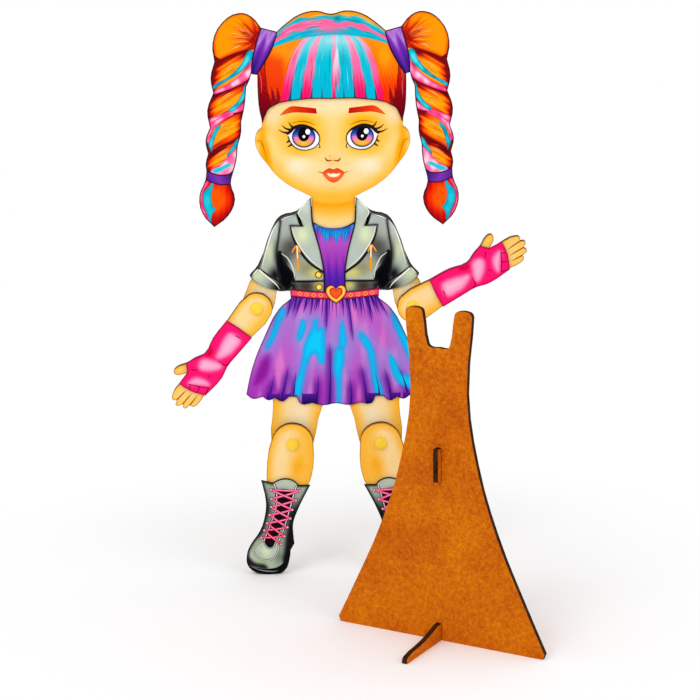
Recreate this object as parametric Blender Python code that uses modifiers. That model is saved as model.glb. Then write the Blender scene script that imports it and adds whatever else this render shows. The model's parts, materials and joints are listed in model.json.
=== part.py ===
"""Flat magnetic dress-up doll of laser-cut board, with riveted limbs, printed magnetic clothes and a fork stand.

The doll stands upright and faces -Y, its stand waits in front of it, and both stand on Z = 0. Sizes are in
millimetres and angles in degrees. right_ and left_ are the doll's own right and left.
"""

import math

import bpy
from mathutils import Vector

MM = 0.001

# Sheet thicknesses and the air between layers
BOARD_THICKNESS = 3.0
PRINT_THICKNESS = 0.5
GARMENT_THICKNESS = 0.8
CONTACT_GAP = 0.3
LIMB_CLEARANCE = 0.9

# Joints, measured from the doll's centre line; the elbows hang below the waist line
ELBOW_X = 46.2
ELBOW_DROP = 6.3
KNEE_X = 26.5
ELBOW_RADIUS = 9.3
KNEE_RADIUS = 12.7
FOREARM_LENGTH = 76.4
SHIN_LENGTH = 83.2

# Rest pose
RIGHT_FOREARM_RISE = -51.0
LEFT_FOREARM_RISE = 29.0
SHIN_SPLAY = 10.5

# Plastic snap rivets
RIVET_HEAD_RADIUS = 3.75
RIVET_HEAD_HEIGHT = 1.7
RIVET_SHANK_RADIUS = 2.0
SOCKET_WALL = 0.8
SOCKET_CAP_RADIUS = 4.3
SOCKET_CAP_HEIGHT = 1.5
RUNNING_CLEARANCE = 0.3

# Trunk, from the crown down
HEAD_HALF_WIDTH = 41.0
CROWN_ABOVE_EAR = 67.0
EAR_ABOVE_JAW = 33.8
EAR_REACH = 4.2
NECK_HALF_WIDTH = 12.9
NECK_LENGTH = 16.7
ARMPIT_X = 29.3
ARMPIT_DEPTH = 23.0
SHOULDER_ABOVE_WAIST = 42.5
WAIST_HALF_WIDTH = 24.6
WAIST_Z = 171.0
HIP_HALF_WIDTH = 39.5
HIP_Z = 121.0
CROTCH_Z = 112.0

# Hair and clothes
HAIR_LIFT = 6.8
HAIR_HALF_WIDTH = 43.0
FRINGE_DROP = 44.0
PIGTAIL_LENGTH = 115.6
TIE_INSET = 2.6
TIE_DROP = 9.2
RIGHT_PIGTAIL_SWAY = 3.5
LEFT_PIGTAIL_SWAY = -2.5
NECKLINE_DROP = 2.1
HEM_Z = 104.5
HEM_HALF_WIDTH = 53.7
GLOVE_MARGIN = 0.5
GLOVE_CUFF_AT = 16.5

# Keeper glued to the doll's back, which hangs in the stand's fork
KEEPER_WIDTH = 26.0
KEEPER_HEIGHT = 18.0
KEEPER_SIDE_PLAY = 0.8
KEEPER_DEPTH_PLAY = 0.8

# Fork stand
STAND_X = 56.0
STAND_Y = -120.0
STAND_YAW = -30.0
STAND_HEIGHT = 187.0
STAND_BASE_WIDTH = 128.0
STAND_NECK_WIDTH = 34.0
STAND_NECK_Z = 142.0
STAND_TOP_WIDTH = 40.0
STAND_CORNER_RADIUS = 3.0
FORK_DEPTH = 21.0
FORK_FLOOR_WIDTH = 13.5
FORK_MOUTH_WIDTH = 19.0
FORK_FILLET = 1.5
SLOT_PLAY = 0.3
TENON_Z = 101.0
TENON_HEIGHT = 18.5
TENON_REACH = 3.5
NOTCH_HEIGHT = 10.0
FOOT_REACH = 40.0
FOOT_TIP_HEIGHT = 3.5
FOOT_TIP_ROUND = 1.5
BRACE_DEPTH = 52.0
BRACE_SHOULDER = 5.0
BRACE_TOE_HEIGHT = 6.0

# Heights above the floor
ELBOW_Z = WAIST_Z - ELBOW_DROP
SHOULDER_Z = WAIST_Z + SHOULDER_ABOVE_WAIST
ARMPIT_Z = SHOULDER_Z - ARMPIT_DEPTH
NECKLINE_Z = SHOULDER_Z - NECKLINE_DROP
JAW_Z = SHOULDER_Z + NECK_LENGTH
EAR_Z = JAW_Z + EAR_ABOVE_JAW
HEAD_TOP_Z = EAR_Z + CROWN_ABOVE_EAR
HAIR_TOP_Z = HEAD_TOP_Z + HAIR_LIFT
FRINGE_Z = HEAD_TOP_Z - FRINGE_DROP

# Heights of the layers in front of the main board's front face
MAIN_PRINT = (CONTACT_GAP, CONTACT_GAP + PRINT_THICKNESS)
MAIN_GARMENT = (MAIN_PRINT[1] + CONTACT_GAP, MAIN_PRINT[1] + CONTACT_GAP + GARMENT_THICKNESS)
MAIN_BOARD = (-BOARD_THICKNESS, 0.0)
LIMB_BOARD = (MAIN_GARMENT[1] + LIMB_CLEARANCE, MAIN_GARMENT[1] + LIMB_CLEARANCE + BOARD_THICKNESS)
LIMB_PRINT = (LIMB_BOARD[1] + CONTACT_GAP, LIMB_BOARD[1] + CONTACT_GAP + PRINT_THICKNESS)
LIMB_GARMENT = (LIMB_PRINT[1] + CONTACT_GAP, LIMB_PRINT[1] + CONTACT_GAP + GARMENT_THICKNESS)
RIVET_SEAT = LIMB_PRINT[1] + CONTACT_GAP
KEEPER_SPACER = (-2 * BOARD_THICKNESS - CONTACT_GAP - KEEPER_DEPTH_PLAY, -BOARD_THICKNESS - CONTACT_GAP)
KEEPER_PLATE = (KEEPER_SPACER[0] - CONTACT_GAP - BOARD_THICKNESS, KEEPER_SPACER[0] - CONTACT_GAP)

# Radii of the rivet's parts, from the shank outwards
SOCKET_BORE = RIVET_SHANK_RADIUS + RUNNING_CLEARANCE
SOCKET_RADIUS = SOCKET_BORE + SOCKET_WALL
LIMB_HOLE = RIVET_SHANK_RADIUS + RUNNING_CLEARANCE
MAIN_HOLE = SOCKET_RADIUS + RUNNING_CLEARANCE

CURVE_STEPS = 3
HOLE_STEPS = 4
LATHE_STEPS = 20
MERGE_DISTANCE = 0.01
CORNER = "corner"

COLOURS = {
    "board": ((0.36, 0.17, 0.05), 0.75),
    "skin": ((1.0, 0.66, 0.24), 0.4),
    "hair": ((0.9, 0.2, 0.02), 0.4),
    "cloth": ((0.36, 0.12, 0.5), 0.4),
    "glove": ((1.0, 0.03, 0.16), 0.4),
    "boot": ((0.2, 0.23, 0.2), 0.4),
    "rivet": ((0.95, 0.6, 0.06), 0.35),
    "stand": ((0.5, 0.17, 0.015), 0.7),
}


# Outlines are lists of (across, up), with CORNER as a third item where the outline turns sharply


def arc(centre, radius, start, end, count):
    """count points on a circle, from one angle to another."""
    turns = [math.radians(start + (end - start) * i / (count - 1)) for i in range(count)]
    return [(centre[0] + radius * math.cos(a), centre[1] + radius * math.sin(a)) for a in turns]


def flipped(points):
    """The outline's mirror image, run the other way."""
    return [(-p[0], *p[1:]) for p in reversed(points)]


def both_sides(half):
    """A closed outline from its +X half, which starts and ends on the centre line."""
    return half + flipped(half[1:-1])


def shifted(points, across, up):
    return [(p[0] + across, p[1] + up, *p[2:]) for p in points]


def share_of(length, points):
    """Points given in hundredths of a length."""
    return [(p[0] * length / 100, p[1] * length / 100, *p[2:]) for p in points]


def trunk_outline():
    """Head, torso, upper arms and thighs in one board."""
    head = [
        (0, HEAD_TOP_Z),
        (0.51 * HEAD_HALF_WIDTH, HEAD_TOP_Z - 3),
        (0.85 * HEAD_HALF_WIDTH, HEAD_TOP_Z - 15),
        (HEAD_HALF_WIDTH - 0.2, HEAD_TOP_Z - 33),
        (HEAD_HALF_WIDTH, EAR_Z + 7, CORNER),
    ]
    ear = [
        (HEAD_HALF_WIDTH + 0.7 * EAR_REACH, EAR_Z + 4.5),
        (HEAD_HALF_WIDTH + EAR_REACH, EAR_Z),
        (HEAD_HALF_WIDTH + 0.6 * EAR_REACH, EAR_Z - 7),
        (HEAD_HALF_WIDTH - 3.4, EAR_Z - 15.4, CORNER),
    ]
    jaw = [
        (HEAD_HALF_WIDTH - 6.5, JAW_Z + 14.3),
        (HEAD_HALF_WIDTH - 15, JAW_Z + 7),
        (NECK_HALF_WIDTH + 4.1, JAW_Z + 2.2),
        (NECK_HALF_WIDTH, JAW_Z, CORNER),
    ]
    arm = [
        (NECK_HALF_WIDTH, SHOULDER_Z + 9),
        (NECK_HALF_WIDTH + 2, SHOULDER_Z + 5),
        (NECK_HALF_WIDTH + 8, SHOULDER_Z + 3),
        (ARMPIT_X + 0.7, SHOULDER_Z),
        (ARMPIT_X + 5, SHOULDER_Z - 6.5),
        (ARMPIT_X + 8.2, ARMPIT_Z + 8.5),
    ]
    elbow = arc((ELBOW_X, ELBOW_Z), ELBOW_RADIUS, 20, -160, 5)
    side = [
        (0.5 * (ELBOW_X - ELBOW_RADIUS + ARMPIT_X) + 0.5, 0.5 * (ELBOW_Z + ARMPIT_Z)),
        (ARMPIT_X, ARMPIT_Z, CORNER),
        (0.3 * ARMPIT_X + 0.7 * WAIST_HALF_WIDTH, 0.5 * (ARMPIT_Z + WAIST_Z)),
        (WAIST_HALF_WIDTH, WAIST_Z),
        (WAIST_HALF_WIDTH + 3, WAIST_Z - 11),
        (HIP_HALF_WIDTH - 3.5, HIP_Z + 17),
        (HIP_HALF_WIDTH, HIP_Z),
        (KNEE_X + KNEE_RADIUS - 1.4, knee_z() + 24),
    ]
    knee = arc((KNEE_X, knee_z()), KNEE_RADIUS, 0, -180, 5)
    crotch = [(8.4, CROTCH_Z - 9), (3.5, CROTCH_Z - 2), (0, CROTCH_Z)]
    return both_sides(head + ear + jaw + arm + elbow + side + knee + crotch)


def hand_edges():
    """The forearm's thumb edge, thumb, fingers and little-finger edge, from the elbow at the origin along +X."""
    thumb_edge = [(22.3, 12.0), (38.7, 11.9), (52.9, 9.6), (61.3, 13.6), (68.1, 16.0)]
    thumb = [(75.3, 20.2), (79.8, 19.9), (80.1, 16.5), (75.4, 12.3), (71.5, 9.4, CORNER)]
    fingers = [
        (83.8, 10.5),
        (94.8, 9.7),
        (97.9, 7.1),
        (96.3, 4.3, CORNER),
        (100.0, 2.1),
        (96.1, -1.3, CORNER),
        (97.9, -4.5),
        (93.2, -6.2, CORNER),
        (92.7, -9.0),
        (86.4, -10.7),
    ]
    palm_edge = [(79.2, -10.2), (60.3, -11.8), (49.7, -9.6), (36.6, -9.9), (22.3, -10.5)]
    return [share_of(FOREARM_LENGTH, edge) for edge in (thumb_edge, thumb, fingers, palm_edge)]


def forearm_outline():
    thumb_edge, thumb, fingers, palm_edge = hand_edges()
    return arc((0, 0), ELBOW_RADIUS, 250, 110, 5) + thumb_edge + thumb + fingers + palm_edge


def glove_outline():
    """A fingerless glove, a little wider than the forearm under it."""
    thumb_edge, thumb, fingers, palm_edge = hand_edges()
    upper = shifted(thumb_edge[1:-1], 0, GLOVE_MARGIN)
    lower = shifted(palm_edge[1:-1], 0, -GLOVE_MARGIN)
    cuff_top = (GLOVE_CUFF_AT, thumb_edge[0][1] + GLOVE_MARGIN, CORNER)
    cuff_foot = (GLOVE_CUFF_AT - 1, palm_edge[-1][1] - GLOVE_MARGIN, CORNER)
    thumb_hole = [
        (thumb_edge[-1][0], thumb_edge[-1][1] + GLOVE_MARGIN, CORNER),
        (thumb[-1][0] + 1.4, thumb[-1][1] + 1.6, CORNER),
    ]
    finger_hole = [
        (fingers[0][0] + 0.4, fingers[0][1] + GLOVE_MARGIN, CORNER),
        (fingers[0][0] - 0.2, 0.5),
        (palm_edge[0][0], palm_edge[0][1] - GLOVE_MARGIN, CORNER),
    ]
    return [cuff_top] + upper + thumb_hole + finger_hole + lower + [cuff_foot, (GLOVE_CUFF_AT - 1, 0.5)]


SOLE = [(-1.9, -99.0), (4.8, -100.0), (11.1, -99.6)]


def foot_outline():
    """Shin and bare foot, from the knee at the origin downwards, with the toes turned to +X."""
    knee = arc((0, 0), KNEE_RADIUS, 0, 180, 5)
    inner = [(-17.5, -21.6), (-14.9, -31.9), (-9.6, -48.1), (-8.4, -62.5), (-10.0, -82.9), (-7.9, -95.0)]
    outer = [(14.4, -96.9), (16.3, -88.9), (14.9, -79.3), (9.1, -64.9), (8.7, -54.1), (11.5, -40.9), (14.9, -24.0)]
    return knee + share_of(SHIN_LENGTH, inner + SOLE + outer)


def boot_outline():
    """Lace-up boot seen from the front, with its tongue standing up between the two shaft flaps."""
    top = [
        (17.9, -29.9, CORNER),
        (9.4, -30.5, CORNER),
        (4.1, -26.7),
        (-1.0, -25.5),
        (-5.8, -26.4),
        (-9.5, -29.0, CORNER),
        (-17.7, -27.4, CORNER),
    ]
    inner = [
        (-16.2, -32.0),
        (-11.5, -49.3),
        (-10.3, -58.3),
        (-12.0, -67.3),
        (-13.7, -73.1, CORNER),
        (-11.8, -78.7, CORNER),
        (-12.3, -84.1),
        (-9.6, -95.7),
    ]
    outer = [(17.1, -95.4), (19.0, -87.9), (17.9, -80.8), (12.5, -68.0), (10.9, -56.5), (11.9, -45.4)]
    return share_of(SHIN_LENGTH, top + inner + SOLE + outer)


def knee_z():
    """Height of the knees that sets the splayed soles on the floor."""
    splay = math.radians(SHIN_SPLAY)
    sole = share_of(SHIN_LENGTH, SOLE)
    return max(-p[0] * math.sin(splay) - p[1] * math.cos(splay) for p in sole)


def pigtail_edges(sway):
    """A braid's outer edge, its tassel and its inner edge, bulge by bulge; sway carries the tip outwards."""
    outer = [
        (0.0, 0.0, CORNER),
        (4.8, 5.5),
        (10.9, 7.3),
        (19.1, 2.9),
        (24.0, -7.4),
        (23.0, -16.5, CORNER),
        (24.9, -24.7),
        (23.5, -32.1, CORNER),
        (26.5, -40.7),
        (25.1, -49.4, CORNER),
        (27.3, -55.9),
        (26.0, -62.6, CORNER),
        (27.2, -67.6),
        (26.8, -71.1, CORNER),
    ]
    tassel = [(27.3, -75.8), (30.3, -83.9), (28.7, -93.1), (22.7, -100.0, CORNER), (15.7, -94.3), (12.3, -86.0)]
    inner = [
        (14.5, -77.9),
        (13.1, -71.5, CORNER),
        (11.8, -66.3),
        (11.1, -58.5, CORNER),
        (9.5, -52.4),
        (9.5, -47.0, CORNER),
        (7.8, -38.6),
        (7.1, -29.4, CORNER),
        (5.4, -25.6),
        (4.7, -22.8, CORNER),
    ]
    hanging = share_of(PIGTAIL_LENGTH, outer + tassel + inner)
    swayed = [(p[0] - sway * p[1] / PIGTAIL_LENGTH, *p[1:]) for p in hanging]
    return shifted(swayed, HAIR_HALF_WIDTH - TIE_INSET, HAIR_TOP_Z - TIE_DROP)


def hair_outline():
    """Scalp with its fringe, and a pigtail on each side."""
    crown = [(0, HAIR_TOP_Z - 1.8), (8, HAIR_TOP_Z), (17.5, HAIR_TOP_Z - 1.6), (26, HAIR_TOP_Z - 7)]
    temple = [(HAIR_HALF_WIDTH - 11.6, HAIR_TOP_Z - 11.6, CORNER)]
    cheek = [
        (HAIR_HALF_WIDTH, FRINGE_Z + 14.6, CORNER),
        (HAIR_HALF_WIDTH, FRINGE_Z + 5),
        (HAIR_HALF_WIDTH - 0.8, FRINGE_Z - 6),
        (HAIR_HALF_WIDTH - 2.5, FRINGE_Z - 13.2, CORNER),
        (HAIR_HALF_WIDTH - 4.2, FRINGE_Z - 8.6),
        (HAIR_HALF_WIDTH - 7.0, FRINGE_Z - 4.4),
        (19, FRINGE_Z),
        (0, FRINGE_Z + 0.4),
    ]
    left = crown + temple + pigtail_edges(LEFT_PIGTAIL_SWAY) + cheek
    right = crown + temple + pigtail_edges(RIGHT_PIGTAIL_SWAY) + cheek
    return left + flipped(right[1:-1])


def outfit_outline():
    """Cropped jacket over a flared dress, cut as one sheet."""
    collar = [
        (0, NECKLINE_Z),
        (6.8, NECKLINE_Z + 1),
        (NECK_HALF_WIDTH - 0.5, NECKLINE_Z + 4, CORNER),
        (NECK_HALF_WIDTH + 0.2, NECKLINE_Z + 18.6, CORNER),
        (NECK_HALF_WIDTH + 8.8, SHOULDER_Z + 8.6),
        (ARMPIT_X + 2, SHOULDER_Z + 5.8),
        (ARMPIT_X + 7, SHOULDER_Z - 1.2),
    ]
    sleeve = [
        (ELBOW_X - 1.2, ELBOW_Z + 25.5),
        (ELBOW_X + 3.9, ELBOW_Z + 19.6, CORNER),
        (ELBOW_X + 3.2, ELBOW_Z + 17.8),
        (ELBOW_X - 4.8, ELBOW_Z + 12.2),
        (ELBOW_X - 14.0, ELBOW_Z + 9.4, CORNER),
    ]
    waist = [
        (WAIST_HALF_WIDTH + 1.8, WAIST_Z + 3.7, CORNER),
        (WAIST_HALF_WIDTH + 1.4, WAIST_Z - 1.5, CORNER),
        (WAIST_HALF_WIDTH + 8.7, WAIST_Z - 7.8),
    ]
    skirt = [
        (HEM_HALF_WIDTH - 11.7, HEM_Z + 42.5),
        (HEM_HALF_WIDTH - 3.7, HEM_Z + 22.7),
        (HEM_HALF_WIDTH, HEM_Z + 7, CORNER),
        (HEM_HALF_WIDTH - 4, HEM_Z + 4),
        (HEM_HALF_WIDTH - 9.5, HEM_Z + 5.4, CORNER),
        (HEM_HALF_WIDTH - 13.2, HEM_Z + 3.1),
        (HEM_HALF_WIDTH - 17.2, HEM_Z + 4.6, CORNER),
        (HEM_HALF_WIDTH - 21.4, HEM_Z + 2.2),
        (HEM_HALF_WIDTH - 25.6, HEM_Z + 5.2, CORNER),
        (HEM_HALF_WIDTH - 30.0, HEM_Z + 5.4, CORNER),
        (HEM_HALF_WIDTH - 32.6, HEM_Z + 0.6),
        (HEM_HALF_WIDTH - 39.2, HEM_Z + 1.2, CORNER),
        (7.6, HEM_Z - 0.4),
        (0, HEM_Z + 0.8),
    ]
    return both_sides(collar + sleeve + waist + skirt)


def stand_outline():
    """Plate with concave sides, a two-pronged fork on top and a notch for the brace's foot below."""
    half_top, half_neck, half_base = STAND_TOP_WIDTH / 2, STAND_NECK_WIDTH / 2, STAND_BASE_WIDTH / 2
    half_mouth, half_floor = FORK_MOUTH_WIDTH / 2, FORK_FLOOR_WIDTH / 2
    fork_floor = STAND_HEIGHT - FORK_DEPTH
    half_slot = BOARD_THICKNESS / 2 + SLOT_PLAY
    prong_radius = min(STAND_CORNER_RADIUS, 0.45 * (half_top - half_mouth))
    flare = half_base - half_neck
    shoulder_z = STAND_HEIGHT - prong_radius
    fork = [
        (0, fork_floor, CORNER),
        (half_floor - FORK_FILLET, fork_floor),
        (half_floor, fork_floor + FORK_FILLET),
    ]
    prong = arc((half_mouth + prong_radius, shoulder_z), prong_radius, 180, 90, 3)
    prong += arc((half_top - prong_radius, shoulder_z), prong_radius, 90, 0, 3)
    side = [
        (half_neck, STAND_NECK_Z),
        (half_neck + 0.13 * flare, 0.72 * STAND_NECK_Z),
        (half_neck + 0.38 * flare, 0.46 * STAND_NECK_Z),
        (half_neck + 0.75 * flare, 0.19 * STAND_NECK_Z),
    ]
    base = [
        (half_base, STAND_CORNER_RADIUS, CORNER),
        (half_base - 0.4 * STAND_CORNER_RADIUS, 0, CORNER),
        (half_slot, 0, CORNER),
        (half_slot, NOTCH_HEIGHT, CORNER),
        (0, NOTCH_HEIGHT, CORNER),
    ]
    return both_sides(fork + prong + side + base)


def tenon_slot():
    half_slot = BOARD_THICKNESS / 2 + SLOT_PLAY
    half_height = TENON_HEIGHT / 2 + SLOT_PLAY
    corners = [(-half_slot, -half_height), (half_slot, -half_height), (half_slot, half_height), (-half_slot, half_height)]
    return [(x, TENON_Z + z, CORNER) for x, z in corners]


def brace_outline():
    """Brace seen from the side: +X runs back from the plate's front face, and the foot and tenon reach forward."""
    back_face = BOARD_THICKNESS + SLOT_PLAY
    tenon_low, tenon_high = TENON_Z - TENON_HEIGHT / 2, TENON_Z + TENON_HEIGHT / 2
    foot_top = NOTCH_HEIGHT - SLOT_PLAY
    top = tenon_high + BRACE_SHOULDER
    foot = [
        (-FOOT_REACH, 0, CORNER),
        (-FOOT_REACH, 0.6 * FOOT_TIP_HEIGHT),
        (FOOT_TIP_ROUND - FOOT_REACH, FOOT_TIP_HEIGHT),
        (-0.45 * FOOT_REACH, 0.5 * (FOOT_TIP_HEIGHT + foot_top) - 0.6),
        (-0.08 * FOOT_REACH, foot_top, CORNER),
        (back_face, foot_top, CORNER),
    ]
    tenon = [
        (back_face, tenon_low, CORNER),
        (-TENON_REACH, tenon_low, CORNER),
        (-TENON_REACH, tenon_high, CORNER),
        (back_face, tenon_high, CORNER),
        (back_face, top, CORNER),
    ]
    back = [
        (back_face + 0.16 * BRACE_DEPTH, top, CORNER),
        (back_face + 0.3 * BRACE_DEPTH, 0.6 * top),
        (back_face + 0.58 * BRACE_DEPTH, 0.28 * top),
        (back_face + BRACE_DEPTH, BRACE_TOE_HEIGHT, CORNER),
        (back_face + BRACE_DEPTH, 0, CORNER),
    ]
    return foot + tenon + back


# Building


def clear_scene():
    for old in list(bpy.data.objects):
        bpy.data.objects.remove(old, do_unlink=True)


def finish_of(kind):
    """The Principled material of one kind of surface."""
    if kind in bpy.data.materials:
        return bpy.data.materials[kind]
    colour, roughness = COLOURS[kind]
    made = bpy.data.materials.new(kind)
    made.use_nodes = True
    shader = made.node_tree.nodes["Principled BSDF"]
    shader.inputs["Base Color"].default_value = (*colour, 1.0)
    shader.inputs["Roughness"].default_value = roughness
    shader.inputs["Metallic"].default_value = 0.0
    return made


def add_empty(collection, name, parent, place, turn=0.0, axis=1):
    """An empty at a place in millimetres, turned about one axis; joints and groups hang on these."""
    empty = bpy.data.objects.new(name, None)
    empty.parent = parent
    empty.location = Vector(place) * MM
    empty.rotation_euler[axis] = math.radians(turn)
    empty.empty_display_size = 10 * MM
    collection.objects.link(empty)
    return empty


def add_spline(curve, points):
    spline = curve.splines.new("BEZIER")
    spline.bezier_points.add(len(points) - 1)
    for bezier, point in zip(spline.bezier_points, points, strict=True):
        bezier.co = (point[0] * MM, point[1] * MM, 0)
        handle = "VECTOR" if CORNER in point else "AUTO"
        bezier.handle_left_type = handle
        bezier.handle_right_type = handle
    spline.use_cyclic_u = True
    return spline


def flat_piece(collection, name, parent, outline, layer, kind, holes=()):
    """A sheet with the outline in its parent's XZ plane, filling a layer measured forward, towards -Y."""
    curve = bpy.data.curves.new(name, "CURVE")
    curve.dimensions = "2D"
    curve.fill_mode = "BOTH"
    curve.extrude = (layer[1] - layer[0]) / 2 * MM
    curve.resolution_u = CURVE_STEPS
    add_spline(curve, outline)
    for hole in holes:
        add_spline(curve, hole).resolution_u = HOLE_STEPS
    piece = bpy.data.objects.new(name, curve)
    piece.parent = parent
    piece.location.y = -(layer[0] + layer[1]) / 2 * MM
    piece.rotation_euler.x = math.radians(90)
    curve.materials.append(finish_of(kind))
    collection.objects.link(piece)
    return piece


def round_hole(centre, radius):
    return arc(centre, radius, 0, 270, 4)


def turned_piece(collection, name, parent, profile, kind):
    """A lathe shape about the parent's Y axis; profile heights are measured forward, towards -Y."""
    mesh = bpy.data.meshes.new(name)
    spots = [(radius * MM, 0, height * MM) for radius, height in profile]
    mesh.from_pydata(spots, [(i, i + 1) for i in range(len(spots) - 1)], [])
    piece = bpy.data.objects.new(name, mesh)
    piece.parent = parent
    piece.rotation_euler.x = math.radians(90)
    screw = piece.modifiers.new("turn", "SCREW")
    screw.axis = "Z"
    screw.steps = LATHE_STEPS
    screw.render_steps = LATHE_STEPS
    screw.use_merge_vertices = True
    screw.merge_threshold = MERGE_DISTANCE * MM
    screw.use_smooth_shade = True
    mesh.materials.append(finish_of(kind))
    collection.objects.link(piece)
    return piece


def add_rivet(collection, name, parent):
    """A stud with a domed head in front, snapped into a socket whose tube passes through the main board."""
    head = RIVET_SEAT + RIVET_HEAD_HEIGHT
    cap_front = -BOARD_THICKNESS - CONTACT_GAP
    bore_end = -BOARD_THICKNESS
    stud = [
        (0, head),
        (0.55 * RIVET_HEAD_RADIUS, head - 0.12 * RIVET_HEAD_HEIGHT),
        (0.88 * RIVET_HEAD_RADIUS, head - 0.42 * RIVET_HEAD_HEIGHT),
        (RIVET_HEAD_RADIUS, head - 0.8 * RIVET_HEAD_HEIGHT),
        (RIVET_HEAD_RADIUS, RIVET_SEAT),
        (RIVET_SHANK_RADIUS, RIVET_SEAT),
        (RIVET_SHANK_RADIUS, bore_end + CONTACT_GAP),
        (0, bore_end + CONTACT_GAP),
    ]
    socket = [
        (0, bore_end),
        (SOCKET_BORE, bore_end),
        (SOCKET_BORE, LIMB_BOARD[0] - CONTACT_GAP),
        (SOCKET_RADIUS, LIMB_BOARD[0] - CONTACT_GAP),
        (SOCKET_RADIUS, cap_front),
        (SOCKET_CAP_RADIUS, cap_front),
        (SOCKET_CAP_RADIUS, cap_front - 0.55 * SOCKET_CAP_HEIGHT),
        (0.82 * SOCKET_CAP_RADIUS, cap_front - SOCKET_CAP_HEIGHT),
        (0, cap_front - SOCKET_CAP_HEIGHT),
    ]
    turned_piece(collection, name + "_rivet_stud", parent, stud, "rivet")
    turned_piece(collection, name + "_rivet_socket", parent, socket, "rivet")


def add_trunk(collection, doll):
    elbows = [(-ELBOW_X, ELBOW_Z), (ELBOW_X, ELBOW_Z)]
    knees = [(-KNEE_X, knee_z()), (KNEE_X, knee_z())]
    holes = [round_hole(centre, MAIN_HOLE) for centre in elbows + knees]
    flat_piece(collection, "main_board", doll, trunk_outline(), MAIN_BOARD, "board", holes)
    flat_piece(collection, "main_face_sheet", doll, trunk_outline(), MAIN_PRINT, "skin", holes)
    flat_piece(collection, "wig", doll, hair_outline(), MAIN_GARMENT, "hair")
    flat_piece(collection, "outfit", doll, outfit_outline(), MAIN_GARMENT, "cloth")


def add_limb(collection, side, limb, joint, outline, garment, garment_outline, kind):
    """A limb board with its printed facing, and the garment that lies on it, about the joint's empty."""
    hole = [round_hole((0, 0), LIMB_HOLE)]
    turned = (lambda points: points) if side == "left" else flipped
    flat_piece(collection, f"{side}_{limb}_board", joint, turned(outline), LIMB_BOARD, "board", hole)
    flat_piece(collection, f"{side}_{limb}_face_sheet", joint, turned(outline), LIMB_PRINT, "skin", hole)
    flat_piece(collection, f"{side}_{garment}", joint, turned(garment_outline), LIMB_GARMENT, kind)


def add_limbs(collection, doll):
    rises = {"right": RIGHT_FOREARM_RISE, "left": LEFT_FOREARM_RISE}
    for side, sign in (("right", -1), ("left", 1)):
        elbow_place = (sign * ELBOW_X, 0, ELBOW_Z)
        knee_place = (sign * KNEE_X, 0, knee_z())
        elbow = add_empty(collection, f"{side}_elbow", doll, elbow_place, -sign * rises[side])
        knee = add_empty(collection, f"{side}_knee", doll, knee_place, -sign * SHIN_SPLAY)
        add_limb(collection, side, "forearm", elbow, forearm_outline(), "glove", glove_outline(), "glove")
        add_limb(collection, side, "shin", knee, foot_outline(), "boot", boot_outline(), "boot")
        add_rivet(collection, f"{side}_elbow", elbow)
        add_rivet(collection, f"{side}_knee", knee)


def rectangle(width, low, high):
    corners = [(-width / 2, low), (width / 2, low), (width / 2, high), (-width / 2, high)]
    return [(*corner, CORNER) for corner in corners]


def add_keeper(collection, doll):
    """A spacer that sits between the fork's prongs, and a wider plate that keeps the fork behind the doll."""
    low = STAND_HEIGHT - FORK_DEPTH + CONTACT_GAP
    high = low + KEEPER_HEIGHT
    spacer = rectangle(FORK_FLOOR_WIDTH - 2 * KEEPER_SIDE_PLAY, low, high)
    plate = rectangle(KEEPER_WIDTH, low, high)
    flat_piece(collection, "keeper_spacer", doll, spacer, KEEPER_SPACER, "board")
    flat_piece(collection, "keeper_plate", doll, plate, KEEPER_PLATE, "board")


def add_stand(collection, stand):
    """The upright plate, and the brace that is pushed into it from behind."""
    plate_layer = (-BOARD_THICKNESS, 0.0)
    brace_layer = (-BOARD_THICKNESS / 2, BOARD_THICKNESS / 2)
    side_on = add_empty(collection, "stand_side", stand, (0, 0, 0), 90, axis=2)
    flat_piece(collection, "stand_plate", stand, stand_outline(), plate_layer, "stand", [tenon_slot()])
    flat_piece(collection, "stand_brace", side_on, brace_outline(), brace_layer, "stand")


def spots_under(group):
    """World places of all the vertices of the pieces under an empty."""
    bpy.context.view_layer.update()
    graph = bpy.context.evaluated_depsgraph_get()
    spots = []
    for piece in group.children_recursive:
        if piece.type != "EMPTY":
            shape = piece.evaluated_get(graph)
            spots += [shape.matrix_world @ vertex.co for vertex in shape.to_mesh().vertices]
            shape.to_mesh_clear()
    return spots


def settle(doll, assembly):
    """Sets the doll's soles on the floor, and the middle of the whole box over the origin."""
    doll.location.z -= min(spot.z for spot in spots_under(doll))
    spots = spots_under(assembly)
    for axis in (0, 1):
        values = [spot[axis] for spot in spots]
        assembly.location[axis] -= (min(values) + max(values)) / 2
    bpy.context.view_layer.update()


def main():
    clear_scene()
    collection = bpy.data.collections.new("magnetic_doll")
    bpy.context.scene.collection.children.link(collection)
    assembly = add_empty(collection, "assembly", None, (0, 0, 0))
    doll = add_empty(collection, "doll", assembly, (0, 0, 0))
    stand = add_empty(collection, "stand", assembly, (STAND_X, STAND_Y, 0), STAND_YAW, axis=2)
    add_trunk(collection, doll)
    add_limbs(collection, doll)
    add_keeper(collection, doll)
    add_stand(collection, stand)
    settle(doll, assembly)


main()
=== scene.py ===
"""Looks of the magnetic dress-up doll: board, plastic, printed artwork and the studio, laid out as an add-on.

Artwork is drawn in millimetres on the front of each flat piece. The main sheets are drawn from the doll's
centre line and from the floor. Limb pieces are drawn from their own joint, along the limb, in the shape of
the doll's left side.
"""

import json
import math

import bpy
import numpy as np
from bpy.props import FloatProperty, FloatVectorProperty, PointerProperty
from mathutils import Matrix, Vector
from mathutils.geometry import delaunay_2d_cdt

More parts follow.
